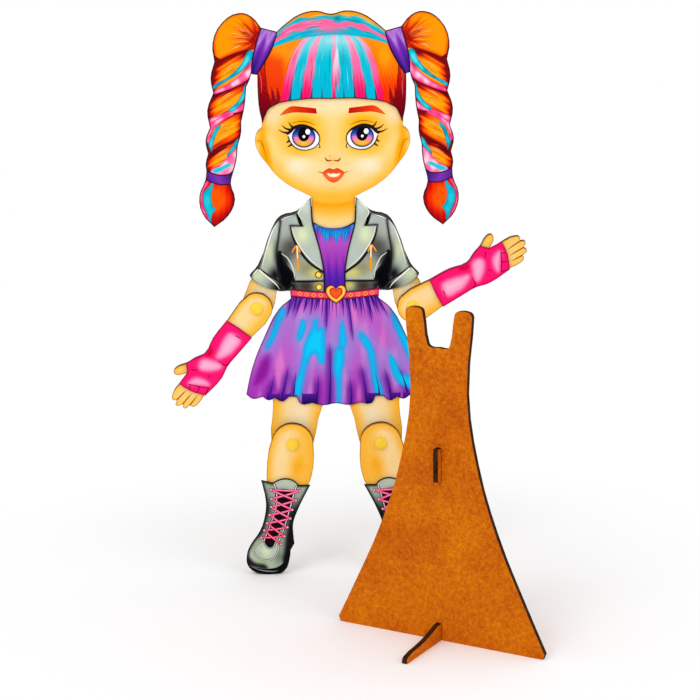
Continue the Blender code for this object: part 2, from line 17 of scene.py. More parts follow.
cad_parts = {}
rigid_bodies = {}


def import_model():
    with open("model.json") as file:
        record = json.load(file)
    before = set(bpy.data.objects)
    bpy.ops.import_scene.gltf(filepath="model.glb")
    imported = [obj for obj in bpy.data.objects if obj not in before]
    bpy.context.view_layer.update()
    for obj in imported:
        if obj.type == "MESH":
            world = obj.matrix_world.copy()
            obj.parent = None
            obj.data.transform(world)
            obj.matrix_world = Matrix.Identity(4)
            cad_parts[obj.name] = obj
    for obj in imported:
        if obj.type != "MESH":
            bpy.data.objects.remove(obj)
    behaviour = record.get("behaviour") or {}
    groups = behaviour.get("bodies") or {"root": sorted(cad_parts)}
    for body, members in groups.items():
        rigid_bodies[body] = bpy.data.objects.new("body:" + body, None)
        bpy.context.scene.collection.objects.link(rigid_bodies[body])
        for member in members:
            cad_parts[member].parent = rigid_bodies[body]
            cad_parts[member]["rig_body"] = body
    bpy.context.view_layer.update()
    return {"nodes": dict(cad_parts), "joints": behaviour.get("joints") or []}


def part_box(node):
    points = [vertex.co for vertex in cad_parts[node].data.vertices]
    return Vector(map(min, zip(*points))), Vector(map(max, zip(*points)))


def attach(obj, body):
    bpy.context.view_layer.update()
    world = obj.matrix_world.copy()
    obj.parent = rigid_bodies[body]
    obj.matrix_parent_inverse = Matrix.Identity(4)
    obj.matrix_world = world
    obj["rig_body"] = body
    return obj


bl_info = {
    "name": "Magnetic dress-up doll",
    "version": (1, 0, 0),
    "blender": (4, 5, 0),
    "location": "View3D > Sidebar > Doll",
    "description": "Prints the artwork of a flat magnetic doll, and sets up its board, plastic and studio",
    "category": "Object",
}

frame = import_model()

MM = 0.001
CORNER = "corner"
SIDES = {"right": -1, "left": 1}

# Rest angles of the limbs in the CAD part, in degrees
FOREARM_RISE = {"right": -51.0, "left": 29.0}
SHIN_SPLAY = 10.5

# Height of one layer of ink over the next, in millimetres
INK_STEP = 0.03

# Rise of each stroke over the one before it, in millimetres, and the strokes after which it starts again
STROKE_STEP = 0.001
STROKE_ROUND = 10

# How far a stroke may run over a sheet's edge before it is left off, and how far in from an edge the paint
# under a strand is read, in millimetres
STRAY = 1.2
STRAND_DEPTH = 4.0

# Height of the rows of a grid of triangles, and its least distance from an outline, as shares of its pitch
GRID_ROW = 0.866
GRID_EDGE = 0.45

# Distance within which corners are one, and the least length to divide by, in millimetres
WELD = 1e-6
TINY = 1e-9

# Sway of the pigtails' tips, and the height over which they hang, in millimetres
SWAY = {-1: 3.5, 1: -2.5}
PIGTAIL_TOP = 328.6
PIGTAIL_LENGTH = 115.6

# Turn of the stand about the vertical, in degrees
STAND_TURN = -30.0

# Usual colours of the hair, which the locks of the fringe start from
HAIR_ORANGE = "#ff8a00"
STREAK_BLUE = "#00bcd6"
STREAK_PINK = "#ff6aa2"


# Colours, lines and fills for the artwork


def hue(colour):
    """A colour as three sRGB numbers from 0 to 1, read from its code or taken as it is."""
    if isinstance(colour, str):
        return np.array([int(colour[i : i + 2], 16) for i in (1, 3, 5)]) / 255
    return np.asarray(colour)


def to_linear(colours):
    low = colours / 12.92
    high = ((np.clip(colours, 0, 1) + 0.055) / 1.055) ** 2.4
    return np.where(colours <= 0.04045, low, high)


def ease(t):
    """Zero to one, with a soft start and end."""
    t = np.clip(t, 0, 1)
    return t * t * (3 - 2 * t)


def blend(under, over, share):
    share = np.asarray(share, float)[..., None]
    return hue(under) * (1 - share) + hue(over) * share


def ramp(t, stops):
    """Colours read off a row of (place, colour) stops."""
    places = [place for place, _ in stops]
    table = np.array([hue(colour) for _, colour in stops])
    return np.stack([np.interp(t, places, table[:, i]) for i in range(3)], axis=-1)


def banded(t, bands, soft):
    """Colours of bands that each reach up to a limit, with soft edges; the last limit is open."""
    stops = []
    for (limit, colour), (_, above) in zip(bands[:-1], bands[1:], strict=True):
        stops += [(limit - soft / 2, colour), (limit + soft / 2, above)]
    return ramp(t, stops)


def ripple(x, z, seed=0.0):
    """A smooth, restless value between -1 and 1."""
    first = np.sin(1.7 * x + 0.9 * z + seed) + np.sin(2.9 * x - 1.3 * z + 2.1 * seed + 1.0)
    return (first + np.sin(0.8 * x + 2.3 * z + 0.7 * seed + 2.0)) / 3


def flowing(points, closed=True, steps=5):
    """A smooth line through the points, which turns sharply at those marked CORNER."""
    spots = np.array([p[:2] for p in points], float)
    sharp = [len(p) > 2 for p in points]
    count = len(points)
    share = np.linspace(0, 1, steps, endpoint=False)[:, None]
    line = []
    for i in range(count if closed else count - 1):
        j = (i + 1) % count
        chord = spots[j] - spots[i]
        length = np.linalg.norm(chord)
        ends = []
        for k in (i, j):
            lone = not closed and k in (0, count - 1)
            way = chord if sharp[k] or lone else spots[(k + 1) % count] - spots[k - 1]
            ends.append(way / max(np.linalg.norm(way), TINY) * length)
        a, b = 2 * share**3 - 3 * share**2 + 1, share**3 - 2 * share**2 + share
        line.append(a * spots[i] + b * ends[0] + (1 - a) * spots[j] + (share**3 - share**2) * ends[1])
    if not closed:
        line.append(spots[-1:])
    return np.concatenate(line)


def nearest(spots, line, closed=True):
    """Distance from each spot to a line, and the place on the line that is nearest."""
    starts = line if closed else line[:-1]
    ways = (np.roll(line, -1, axis=0) if closed else line[1:]) - starts
    lengths = np.maximum((ways**2).sum(1), 1e-12)
    gaps, places = [], []
    for block in np.array_split(spots, max(1, len(spots) // 2000)):
        offsets = block[:, None] - starts
        share = np.clip((offsets * ways).sum(2) / lengths, 0, 1)
        feet = starts + share[..., None] * ways
        far = ((block[:, None] - feet) ** 2).sum(2)
        pick = far.argmin(1)
        rows = np.arange(len(block))
        gaps.append(np.sqrt(far[rows, pick]))
        places.append(feet[rows, pick])
    return np.concatenate(gaps), np.concatenate(places)


def inside(spots, loop):
    x, z = spots[:, :1], spots[:, 1:]
    after = np.roll(loop, -1, axis=0)
    spans = (loop[:, 1] > z) != (after[:, 1] > z)
    rise = after[:, 1] - loop[:, 1]
    rise = np.where(np.abs(rise) < TINY, TINY, rise)
    crossing = loop[:, 0] + (z - loop[:, 1]) * (after[:, 0] - loop[:, 0]) / rise
    return (spans & (x < crossing)).sum(1) % 2 == 1


def cover(spots, outline, soft):
    """How far each spot lies in a shape with a soft edge, from 0 to 1."""
    loop = flowing(outline)
    gap, _ = nearest(spots, loop)
    return ease(0.5 + np.where(inside(spots, loop), gap, -gap) / soft)


def glow(spots, centre, radius):
    """A round, soft patch: one at its centre, fading out at its radius, which may differ across and up."""
    offset = (spots - np.array(centre)) / np.array(radius)
    return np.exp(-2.2 * (offset**2).sum(1))


def ring(centre, across, up, count=20):
    turns = np.linspace(0, 2 * math.pi, count, endpoint=False)
    return [(centre[0] + across * math.cos(a), centre[1] + up * math.sin(a)) for a in turns]


def filled(loops, pitch, sheet=None):
    """Triangles that fill the first loop, less the others and what lies outside the sheet's loop."""
    low, high = loops[0].min(0), loops[0].max(0)

    def kept(spots):
        keep = inside(spots, loops[0])
        for hole in loops[1:]:
            keep &= ~inside(spots, hole)
        return keep if sheet is None else keep & inside(spots, sheet)

    chains = [(loop, np.roll(loop, -1, axis=0)) for loop in loops]
    if sheet is not None:
        after = np.roll(sheet, -1, axis=0)
        near = ((np.maximum(sheet, after) > low) & (np.minimum(sheet, after) < high)).all(1)
        chains.append((sheet[near], after[near]))
    columns, rows = np.arange(low[0], high[0], pitch), np.arange(low[1], high[1], GRID_ROW * pitch)
    grid = [(x + pitch / 2 * (j % 2), z) for j, z in enumerate(rows) for x in columns]
    grid = np.array(grid).reshape(-1, 2)
    grid = grid[kept(grid)]
    for loop in loops if sheet is None else [*loops, sheet]:
        if len(grid):
            grid = grid[nearest(grid, loop)[0] > GRID_EDGE * pitch]
    starts, ends = (np.concatenate([chain[i] for chain in chains]) for i in (0, 1))
    count = len(starts)
    spots = [Vector(p) for p in np.concatenate([starts, ends, grid])]
    made = delaunay_2d_cdt(spots, [(i, count + i) for i in range(count)], [], 0, WELD)
    places = np.array([tuple(p) for p in made[0]])
    faces = np.array([tuple(face) for face in made[2]])
    return places, faces[kept(places[faces].mean(1))].tolist()


def plain(colour):
    """Paint of one colour with a faint mottle."""
    return lambda spots, rim: hue(colour) * (1 + 0.04 * ripple(spots[:, 0], spots[:, 1]))[:, None]


def shaded(edge, middle, depth):
    """Paint that turns from one colour at the shape's edge to another inside it."""
    return lambda spots, rim: blend(edge, middle, ease(rim / depth))


def graded(start, end, stops):
    """Paint that changes from one place to another."""
    start, way = np.array(start), np.array(end) - np.array(start)
    return lambda spots, rim: ramp((spots - start) @ way / (way @ way), stops)


def patched(colour, spots, patches, side=1, shift=0.0):
    """Soft patches over a colour; each has a centre, its radius across and up, a colour and a strength."""
    for (x, z), radius, patch, share in patches:
        colour = blend(colour, patch, share * glow(spots, (shift + side * x, z), radius))
    return colour


def mirrored(points, side, shift=0.0):
    return [(shift + side * p[0], *p[1:]) for p in points]


class Plane:
    """The plane that a piece's artwork is drawn in, standing up and facing -Y."""

    def __init__(self, origin, turn=0.0, side=1):
        self.origin = np.array([origin[0], origin[2]])
        self.side = side
        a = math.radians(turn)
        self.spin = np.array([[math.cos(a), -math.sin(a)], [math.sin(a), math.cos(a)]])

    def to_frame(self, spots, y):
        turned = spots @ self.spin.T * MM * (self.side, 1) + self.origin
        return np.column_stack([turned[:, 0], np.full(len(spots), y), turned[:, 1]])

    def from_frame(self, spots):
        return (spots - self.origin) * (self.side, 1) @ self.spin / MM


class Artwork:
    """Ink on the front of one flat CAD piece."""

    def __init__(self, node, plane):
        self.node = node
        self.plane = plane
        self.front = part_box(node)[0].y
        self.loops = self.front_loops()
        self.spots, self.faces, self.inks = [], [], []

    def front_loops(self):
        """The outlines of the piece's front face, the longest first, in the plane's millimetres."""
        mesh = frame["nodes"][self.node].data
        place = {v.index: tuple(round(c / MM, 3) for c in v.co) for v in mesh.vertices}
        after = {}
        for face in mesh.polygons:
            if face.normal.y < -0.9:
                corners = [place[i] for i in face.vertices]
                for a, b in zip(corners, corners[1:] + corners[:1], strict=True):
                    after.setdefault(a, set()).add(b)
        onward = {a: b for a in after for b in after[a] if a not in after.get(b, ())}
        loops = []
        while onward:
            start, spot = onward.popitem()
            loop = [start]
            while spot != start:
                loop.append(spot)
                spot = onward.pop(spot)
            loops.append(self.plane.from_frame(np.array(loop)[:, (0, 2)] * MM))
        return sorted(loops, key=len, reverse=True)

    def add(self, spots, faces, colours, level):
        """Puts down a stroke; what runs over the piece's outline is drawn in to it, or left off far out."""
        out = np.where(~inside(spots, self.loops[0]))[0]
        if level > 1 and len(out):
            gaps, edge = nearest(spots[out], self.loops[0])
            stray = set(out[gaps > STRAY])
            faces = [face for face in faces if not stray.intersection(face)]
            spots = spots.copy()
            spots[out] = edge
        start = sum(len(part) for part in self.spots)
        lift = level * INK_STEP + len(self.spots) % STROKE_ROUND * STROKE_STEP
        self.spots.append(self.plane.to_frame(spots, self.front - lift * MM))
        self.faces += [tuple(start + i for i in face) for face in faces]
        self.inks.append(np.clip(np.broadcast_to(hue(colours), (len(spots), 3)), 0, 1))

    def ground(self, paint, pitch):
        """Ink over the whole front."""
        spots, faces = filled(self.loops, pitch)
        self.add(spots, faces, paint(spots, nearest(spots, self.loops[0])[0]), 1)

    def shape(self, outline, paint, level, pitch=1.0):
        """A painted shape; the paint is given each spot's place and its distance from the shape's edge."""
        loop = flowing(outline)
        whole = inside(loop, self.loops[0]).all()
        spots, faces = filled([loop], pitch, None if whole else self.loops[0])
        self.add(spots, faces, paint(spots, nearest(spots, loop)[0]), level)

    def line(self, points, widths, colour, level, steps=5):
        """A stroke through the points; widths are given at its start, middle and end, or as one number."""
        middle = flowing(points, closed=False, steps=steps)
        count = len(middle)
        given = np.linspace(0, 1, np.size(widths))
        spread = np.interp(np.linspace(0, 1, count), given, np.ravel(widths)) / 2
        ways = np.gradient(middle, axis=0)
        ways /= np.maximum(np.linalg.norm(ways, axis=1), TINY)[:, None]
        across = np.column_stack([-ways[:, 1], ways[:, 0]]) * spread[:, None]
        faces = [(i, i + 1, count + i + 1, count + i) for i in range(count - 1)]
        self.add(np.concatenate([middle + across, middle - across]), faces, colour, level)

    def strands(self, paths, paint, level, width, seed):
        """Fine tapered strokes, each a little lighter or darker than the paint it lies on."""
        pick = np.random.default_rng(seed)
        for points in paths:
            middle = np.array([points[len(points) // 2][:2]])
            under = paint(middle, np.array([STRAND_DEPTH]))[0]
            shade = "#fff0e0" if pick.random() < 0.6 else 0.5 * under
            wide = width * pick.uniform(0.5, 1.2)
            ink = blend(under, shade, pick.uniform(0.15, 0.45))
            self.line(points, (0.05, wide, 0.05), ink, level + pick.random(), 4)

    def hem(self, width, colour, level):
        """A line of ink along the piece's outline."""
        loop = self.loops[0]
        ways = np.roll(loop, -1, axis=0) - np.roll(loop, 1, axis=0)
        ways /= np.maximum(np.linalg.norm(ways, axis=1), TINY)[:, None]
        inward = np.column_stack([-ways[:, 1], ways[:, 0]])
        if not inside(loop[:1] + 0.2 * inward[:1], loop)[0]:
            inward = -inward
        count = len(loop)
        faces = [(i, (i + 1) % count, count + (i + 1) % count, count + i) for i in range(count)]
        self.add(np.concatenate([loop, loop + width * inward]), faces, colour, level)

    def make(self, finish, slot, backing):
        """Makes the print as a mesh that rides with the piece, and gives the piece behind it its finish."""
        mesh = bpy.data.meshes.new(self.node + "_print")
        mesh.from_pydata(np.concatenate(self.spots).tolist(), [], self.faces)
        inks = np.concatenate(self.inks)
        layer = mesh.color_attributes.new("ink", "FLOAT_COLOR", "POINT")
        rows = np.column_stack([to_linear(inks), np.ones(len(inks))])
        layer.data.foreach_set("color", rows.astype(np.float32).ravel())
        mesh.validate()
        turn_forward(mesh)
        mesh.materials.append(finish)
        sheet = bpy.data.objects.new(self.node + "_print", mesh)
        bpy.context.scene.collection.objects.link(sheet)
        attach(sheet, frame["nodes"][self.node]["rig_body"])
        dress_node(self.node, backing)


def turn_forward(mesh):
    """Turns every face of a flat print to the front."""
    mesh.update()
    for face in mesh.polygons:
        if face.normal.y > 0:
            face.flip()
    mesh.update()


# Finishes


class Wire:
    """A shader socket that can be used in sums; each sum adds a Math node."""

    def __init__(self, nodes, socket):
        self.nodes = nodes
        self.socket = socket

    def sum_of(self, operation, first, second):
        return self.nodes.add("ShaderNodeMath", {"operation": operation}, {0: first, 1: second})

    def __add__(self, other):
        return self.sum_of("ADD", self, other)

    def __radd__(self, other):
        return self.sum_of("ADD", other, self)

    def __mul__(self, other):
        return self.sum_of("MULTIPLY", self, other)

    def __rmul__(self, other):
        return self.sum_of("MULTIPLY", other, self)

    def __gt__(self, other):
        return self.sum_of("GREATER_THAN", self, other)

    def __abs__(self):
        return self.sum_of("ABSOLUTE", self, 0.0)


class Nodes:
    """A node tree, built up node by node."""

    def __init__(self, tree):
        self.tree = tree

    def add(self, kind, settings, sockets, output=0):
        """Adds a node, sets it up, joins or fills its sockets and gives back one of its outputs."""
        made = self.tree.nodes.new(kind)
        for name, value in settings.items():
            if name == "stops":
                set_stops(made.color_ramp, value)
            else:
                setattr(made, name, value)
        for key, value in sockets.items():
            self.join(value, made.inputs[key])
        return Wire(self, made.outputs[output])

    def join(self, value, socket):
        if isinstance(value, Wire):
            self.tree.links.new(value.socket, socket)
        else:
            socket.default_value = value

    def show(self, shader, output):
        """Joins a shader to the tree's output."""
        self.join(shader, self.tree.nodes[output].inputs["Surface"])


class Finish(Nodes):
    """A material with a Principled shader."""

    def __init__(self, name, shine):
        self.material = bpy.data.materials.new(name)
        self.material.use_nodes = True
        super().__init__(self.material.node_tree)
        self.surface = self.tree.nodes["Principled BSDF"]
        self.surface.inputs["Specular IOR Level"].default_value = shine

    def place(self):
        """Where the surface is, in metres, in the piece's own rest frame."""
        return self.add("ShaderNodeTexCoord", {}, {}, "Object")

    def noise(self, scale, detail, roughness=0.55):
        sockets = {"Vector": self.place(), "Scale": scale, "Detail": detail, "Roughness": roughness}
        return self.add("ShaderNodeTexNoise", {}, sockets, "Fac")

    def ramp(self, value, stops):
        return self.add("ShaderNodeValToRGB", {"stops": stops}, {0: value})

    def mix(self, share, first, second, blend_type="MIX"):
        settings = {"data_type": "RGBA", "blend_type": blend_type}
        return self.add("ShaderNodeMix", settings, {0: share, 6: first, 7: second}, 2)

    def bump(self, height, strength, distance):
        return self.add("ShaderNodeBump", {}, {"Height": height, "Strength": strength, "Distance": distance})

    def wear(self, **inputs):
        """Joins the given values to the Principled shader's sockets and gives back the material."""
        for name, value in inputs.items():
            self.join(value, self.surface.inputs[name.replace("_", " ")])
        return self.material


def set_stops(bar, stops):
    while len(bar.elements) < len(stops):
        bar.elements.new(1.0)
    for element, (place, colour) in zip(bar.elements, stops, strict=True):
        element.position = place
        element.color = (*to_linear(hue(colour)), 1.0)


def printed_finish(name, roughness=0.42):
    """Ink on a satin sheet, with a fine grain and slight unevenness in its shine."""
    finish = Finish(name, 0.03)
    ink = finish.add("ShaderNodeAttribute", {"attribute_name": "ink"}, {}, "Color")
    grain = finish.ramp(finish.noise(900, 2), [(0.3, "#f9f9f9"), (0.7, "#ffffff")])
    cloud = finish.noise(60, 2)
    return finish.wear(
        Base_Color=finish.mix(1.0, ink, grain, "MULTIPLY"),
        Roughness=roughness + 0.12 * cloud,
        Normal=finish.bump(finish.noise(1400, 2), 0.15, 0.0001),
    )


def board_finish(name, tones, burnt, facing):
    """Fibreboard: mottled and speckled on its faces, charred where the laser has cut it."""
    finish = Finish(name, 0.06)
    fibres = finish.noise(420, 8, 0.8)
    clouds = finish.noise(30, 4)
    specks = finish.noise(2600, 3, 0.7)
    mottle = 0.42 * fibres + 0.2 * clouds + 0.38 * specks
    board = finish.ramp(mottle, list(zip((0.4, 0.5, 0.6), tones, strict=True)))
    char = finish.ramp(finish.noise(240, 4), list(zip((0.3, 0.75), burnt, strict=True)))
    normal = finish.add("ShaderNodeNewGeometry", {}, {}, "True Normal")
    along = finish.add("ShaderNodeVectorMath", {"operation": "DOT_PRODUCT"}, {0: normal, 1: facing}, "Value")
    return finish.wear(
        Base_Color=finish.mix(abs(along) > 0.6, char, board),
        Roughness=0.62 + 0.25 * clouds,
        Normal=finish.bump(fibres, 0.3, 0.0002),
    )


def moulded_finish(name, colour, roughness, mottle=0.06, scale=300):
    """Moulded plastic, rubber or film of one colour, slightly uneven."""
    finish = Finish(name, 0.2)
    cloud = finish.noise(scale, 3)
    stops = [(0.5 + 0.2 * way, np.clip(hue(colour) * (1 + way * mottle), 0, 1)) for way in (-1, 1)]
    return finish.wear(
        Base_Color=finish.ramp(cloud, stops),
        Roughness=roughness + 0.15 * cloud,
        Normal=finish.bump(finish.noise(2200, 2), 0.1, 0.0001),
    )


def dress_node(name, material):
    """Gives a CAD node its finish."""
    mesh = frame["nodes"][name].data
    mesh.materials.clear()
    mesh.materials.append(material)


def main_plane():
    """The plane of the sheets on the main board, from the doll's centre line and the floor."""
    knees = [joint["pos_m"] for joint in frame["joints"] if joint["name"].endswith("knee")]
    return Plane(((knees[0][0] + knees[1][0]) / 2, 0, 0))


def limb_plane(side, joint):
    place = next(j["pos_m"] for j in frame["joints"] if j["name"] == f"{side}_{joint}")
    turn = FOREARM_RISE[side] if joint == "elbow" else SHIN_SPLAY
    return Plane(place, turn, SIDES[side])


# Artwork of the face and body

OUTLINE = "#1d1418"
BROWN_LINE = "#8a4a10"
FACE_SHIFT = 0.2
EYE = (17.0, 264.8)
CHIN_Z = 226.4

BROW = [
    (31.0, 277.9, CORNER), (27.7, 281.3), (24.0, 283.4), (16.8, 282.9), (9.6, 282.1, CORNER),
    (9.1, 278.9, CORNER), (16.1, 279.5), (23.5, 279.7),
]
BROW_INKS = [(0, "#c41008"), (0.45, "#e0300c"), (1, "#f46a1c")]

# Parts of an eye, from its middle; the outer corner is at +X
EYE_WHITE = [
    (9.1, 1.8), (6.8, 5.0), (0.2, 6.9), (-6.3, 4.6), (-9.0, 1.0), (-8.8, -2.4), (-7.2, -4.7),
    (-4.2, -6.2), (0.0, -6.8), (4.2, -5.7), (7.5, -2.6),
]
TEAR_DUCT = [(-7.0, -4.5, CORNER), (-8.7, -3.0), (-9.4, -5.4, CORNER), (-8.4, -5.8)]
UPPER_LID = [(-9.3, -0.4), (-8.6, 2.2), (-6.0, 5.0), (0.2, 7.2), (5.6, 6.1), (9.2, 2.8), (10.5, 3.1)]
LOWER_LID = [
    (9.2, 1.2), (7.6, -2.7), (4.3, -5.9), (0.0, -7.0), (-4.3, -6.4), (-7.3, -4.8), (-9.0, -2.2),
    (-9.3, 0.2),
]
LID_CREASE = [(7.6, 8.6), (2.0, 9.8), (-3.0, 9.2), (-6.8, 7.4)]
LASHES = [
    [(14.8, 5.2), (11.8, 3.6), (8.6, 3.1)],
    [(12.8, 7.8), (10.6, 5.9), (7.8, 4.9)],
    [(8.6, 9.6), (7.6, 7.6), (5.4, 5.9)],
    [(10.4, -2.6), (9.5, -2.1), (8.2, -1.2)],
    [(9.6, -5.2), (8.4, -4.4), (6.8, -3.4)],
]
IRIS = (0.0, 0.7)
IRIS_INKS = [
    (0, "#ffae14"), (0.22, "#ffa636"), (0.36, "#ff86b4"), (0.48, "#e878c4"), (0.6, "#3c5cc4"),
    (0.74, "#123c98"), (0.88, "#0a1450"), (1, "#04040e"),
]
PUPIL_RISE = 1.3
GLINTS = [((2.4, 3.7), 1.4, 1.6), ((0.1, 0.9), 0.8, 0.85)]

LIPS = [
    (-6.6, 244.4, CORNER), (-4.1, 246.2), (-1.9, 247.1), (0.2, 246.4), (2.4, 247.1), (4.5, 246.2),
    (7.0, 244.5, CORNER), (4.9, 241.2), (0.3, 238.5), (-4.2, 241.0),
]
LIP_INKS = [(0, "#ef4a12"), (0.4, "#ff6f30"), (0.7, "#f0521c"), (1, "#d63c10")]
LIP_LIGHT = [
    (-3.4, 244.2), (-1.4, 243.7), (0.2, 244.1), (1.9, 243.7), (4.0, 244.0), (3.2, 242.5), (0.2, 241.7),
    (-2.5, 242.4),
]
NOSTRILS = [[(-4.5, 253.4), (-3.4, 251.6), (-0.4, 251.6)], [(4.5, 253.2), (3.2, 251.5), (0.4, 251.6)]]
MOUTH_CORNERS = [
    [(-9.0, 245.0), (-7.8, 244.8), (-6.4, 244.4)],
    [(9.2, 245.0), (8.1, 244.8), (6.8, 244.5)],
]
JAW_FOLD = [(41.5, 272.0), (40.6, 264.0), (38.8, 252.0), (36.6, 245.0)]
EAR_FOLD = [(44.0, 263.6), (41.9, 263.2), (40.2, 259.0), (38.3, 251.0)]
NECK_INKS = [(0, "#ff9d04"), (0.3, "#ffb838"), (0.6, "#ffd078"), (1, "#ffdfa4")]

# Soft lights and shades down the middle of the face, and those of each side
MIDDLE_SHADES = [
    ((0, 252), (34, 20), "#ffdb9c", 0.9),
    ((0, 283), (34, 9), "#ffe2b2", 1.0),
    ((0, 268), (8, 14), "#ffdfa8", 0.85),
    ((0, 229), (26, 10), "#ffb626", 0.95),
    ((0, 251.6), (6.5, 4.2), "#ffb454", 0.5),
    ((0, 241), (12, 7), "#ffcd80", 0.55),
]
SIDE_SHADES = [
    ((EYE[0] + 0.5, EYE[1] + 0.5), (19, 15), "#ffb200", 1.0),
    ((EYE[0] + 1, EYE[1] + 9.5), (14, 6.5), "#ffae04", 1.0),
    ((EYE[0] + 12, EYE[1] + 4), (7, 9), "#ffbc40", 0.7),
    ((EYE[0] + 3, EYE[1] - 7.5), (11, 4.5), "#ffae00", 0.4),
    ((21, 249), (12, 7), "#ffeacc", 0.95),
    ((32, 247), (7, 9), "#ffc250", 0.6),
    ((39.2, 256), (3.6, 11), "#ffa600", 0.85),
    ((46.5, 262), (6.0, 11), "#ffdea8", 1.0),
    ((31, 237), (9, 8), "#ffbf2e", 0.6),
    ((36, 278), (8, 9), "#ffddac", 0.9),
    # The last two entries, on the thigh and the upper arm, are the print's pale skin lightened further as
    # painted light, against the shade that the skirt and the cuff cast there
    ((22, 96), (9, 18), "#ffeac0", 0.95),
    ((43, 171), (13, 13), "#ffeec8", 1.0),
]

# What the clothes hide: painted short hair and a plain vest with shorts
HAIR_CAP = [
    (45, 286, CORNER), (46, 305), (32, 330), (0, 336), (-32, 330), (-46, 305), (-45, 286, CORNER),
    (-30, 291.5), (0, 294), (30, 291.5),
]
VEST = [
    (0, 197), (9, 199), (13.5, 206, CORNER), (19.5, 206.5, CORNER), (25, 198), (27.5, 188), (24, 171),
    (28, 159), (36, 137), (39, 121), (37, 113, CORNER), (20, 113.5), (3, 116, CORNER),
]


def fold_shade(spots, line, reach):
    """How deep each spot lies in the soft shade along a fold."""
    return ease(1 - nearest(spots, np.array(line), closed=False)[0] / reach)


def skin_paint(depth):
    """Golden at the edge of a limb, pale along its middle."""

    def paint(spots, rim):
        colour = blend(tone("skin_edge"), tone("skin_light"), ease(rim / depth + 0.1))
        return colour * (1 + 0.01 * ripple(spots[:, 0] / 3, spots[:, 1] / 3))[:, None]

    return paint


def face_paint(spots, rim):
    """Skin of the head and body, with the soft shading of the face and neck."""
    x, z = spots.T
    colour = skin_paint(11)(spots, rim)
    colour = patched(colour, spots, MIDDLE_SHADES, 1, FACE_SHIFT)
    for side in (-1, 1):
        colour = patched(colour, spots, SIDE_SHADES, side, FACE_SHIFT)
        for fold in (EAR_FOLD, JAW_FOLD):
            colour = blend(colour, "#ffa200", 0.7 * fold_shade(spots, mirrored(fold, side), 3.6))
    chin = CHIN_Z + 0.013 * x**2
    neck = ramp((chin - z) / 16, NECK_INKS)
    share = ease((chin - z) / 1.6 + 0.4) * ease((z - 203) / 6) * ease((16 - np.abs(x)) / 2)
    return blend(colour, neck, share)


def iris_paint(centre):
    """Dark blue at the top, through violet and rose to amber, with a dark rim and fine rays."""

    def paint(spots, rim):
        offset = spots - np.array(centre)
        turn = np.arctan2(offset[:, 1], offset[:, 0])
        colour = ramp((offset[:, 1] + 6.4) / 12.8, IRIS_INKS)
        colour = blend(colour, "#ffc832", 0.8 * glow(offset, (0, -3.6), (3.6, 2.4)))
        colour = colour * (1 + 0.1 * np.sin(22 * turn) * ease(rim / 2))[:, None]
        colour = blend(colour, "#04040e", 0.9 * glow(offset, (0.8, 5.0), (4.2, 3.4)))
        return blend("#141c50", colour, ease(rim / 1.5))

    return paint


def draw_eye(art, side):
    def at(points):
        return [(FACE_SHIFT + side * (EYE[0] + p[0]), EYE[1] + p[1], *p[2:]) for p in points]

    middle = (FACE_SHIFT + side * EYE[0], EYE[1])
    iris = (middle[0] + IRIS[0], middle[1] + IRIS[1])
    pupil = (iris[0], iris[1] + PUPIL_RISE)
    art.shape(at(EYE_WHITE), shaded("#dfe3ea", "#ffffff", 1.6), 2)
    art.shape(at(TEAR_DUCT), plain("#ffe0b0"), 2)
    art.line(at(TEAR_DUCT[1:]), (0.4, 0.7, 0.4), "#3a2412", 3)
    art.shape(ring(iris, 6.9, 6.3, 28), iris_paint(iris), 3, 0.5)
    art.shape(ring(pupil, 3.3, 3.9), plain("#06050a"), 4)
    for (across, up), wide, tall in GLINTS:
        art.shape(ring((middle[0] + across, middle[1] + up), wide, tall), plain("#ffffff"), 5, 0.8)
    art.line(at(UPPER_LID), (0.4, 0.9, 1.9, 2.0, 0.4), OUTLINE, 6)
    art.line(at(LOWER_LID), (0.7, 0.5, 0.6), "#3a2412", 5)
    art.line(at(LID_CREASE), (0.15, 0.5, 0.15), BROWN_LINE, 5)
    for lash in LASHES:
        art.line(at(lash), (0.16, 0.8, 1.3), OUTLINE, 7)


def draw_face(art):
    for side in (-1, 1):
        brow_paint = graded((side * 10, 0), (side * 32, 0), BROW_INKS)
        art.shape(mirrored(BROW, side, FACE_SHIFT), brow_paint, 2)
        draw_eye(art, side)
        art.line(mirrored(EAR_FOLD, side), (0.3, 0.8, 0.2), "#c87a08", 2)
    for nostril in NOSTRILS:
        art.line(nostril, (0.4, 1.1, 0.4), "#a04c0c", 2)
    art.line([(-1.9, 254.8), (-1.7, 253.9)], (0.3, 0.6), "#b8661c", 2)
    art.shape(LIPS, graded((0, 238.5), (0, 247.5), LIP_INKS), 2, 0.7)
    art.shape(LIP_LIGHT, shaded("#ffc9a4", "#fff6ec", 0.7), 3, 0.5)
    for corner in MOUTH_CORNERS:
        art.line(corner, (0.15, 0.45, 0.5), "#a0521c", 2)


def draw_underwear(art):
    """The short painted hair under the wig, and the vest and shorts under the outfit."""
    art.shape(HAIR_CAP, plain("#b5642a"), 2, 2.0)
    for i in range(-8, 9):
        strand = [(0.5 * i, 326), (3.0 * i, 312), (4.6 * i, 296 - 0.05 * i * i)]
        art.line(strand, (0.2, 0.7, 0.2), "#8a4416", 3)
    art.shape(VEST + mirrored(VEST[:0:-1], -1), shaded("#c9b2e6", "#f1e8fb", 6), 2, 2.0)
    art.line([(-24.2, 171), (0, 169.4), (24.2, 171)], 0.8, "#a58fce", 3)


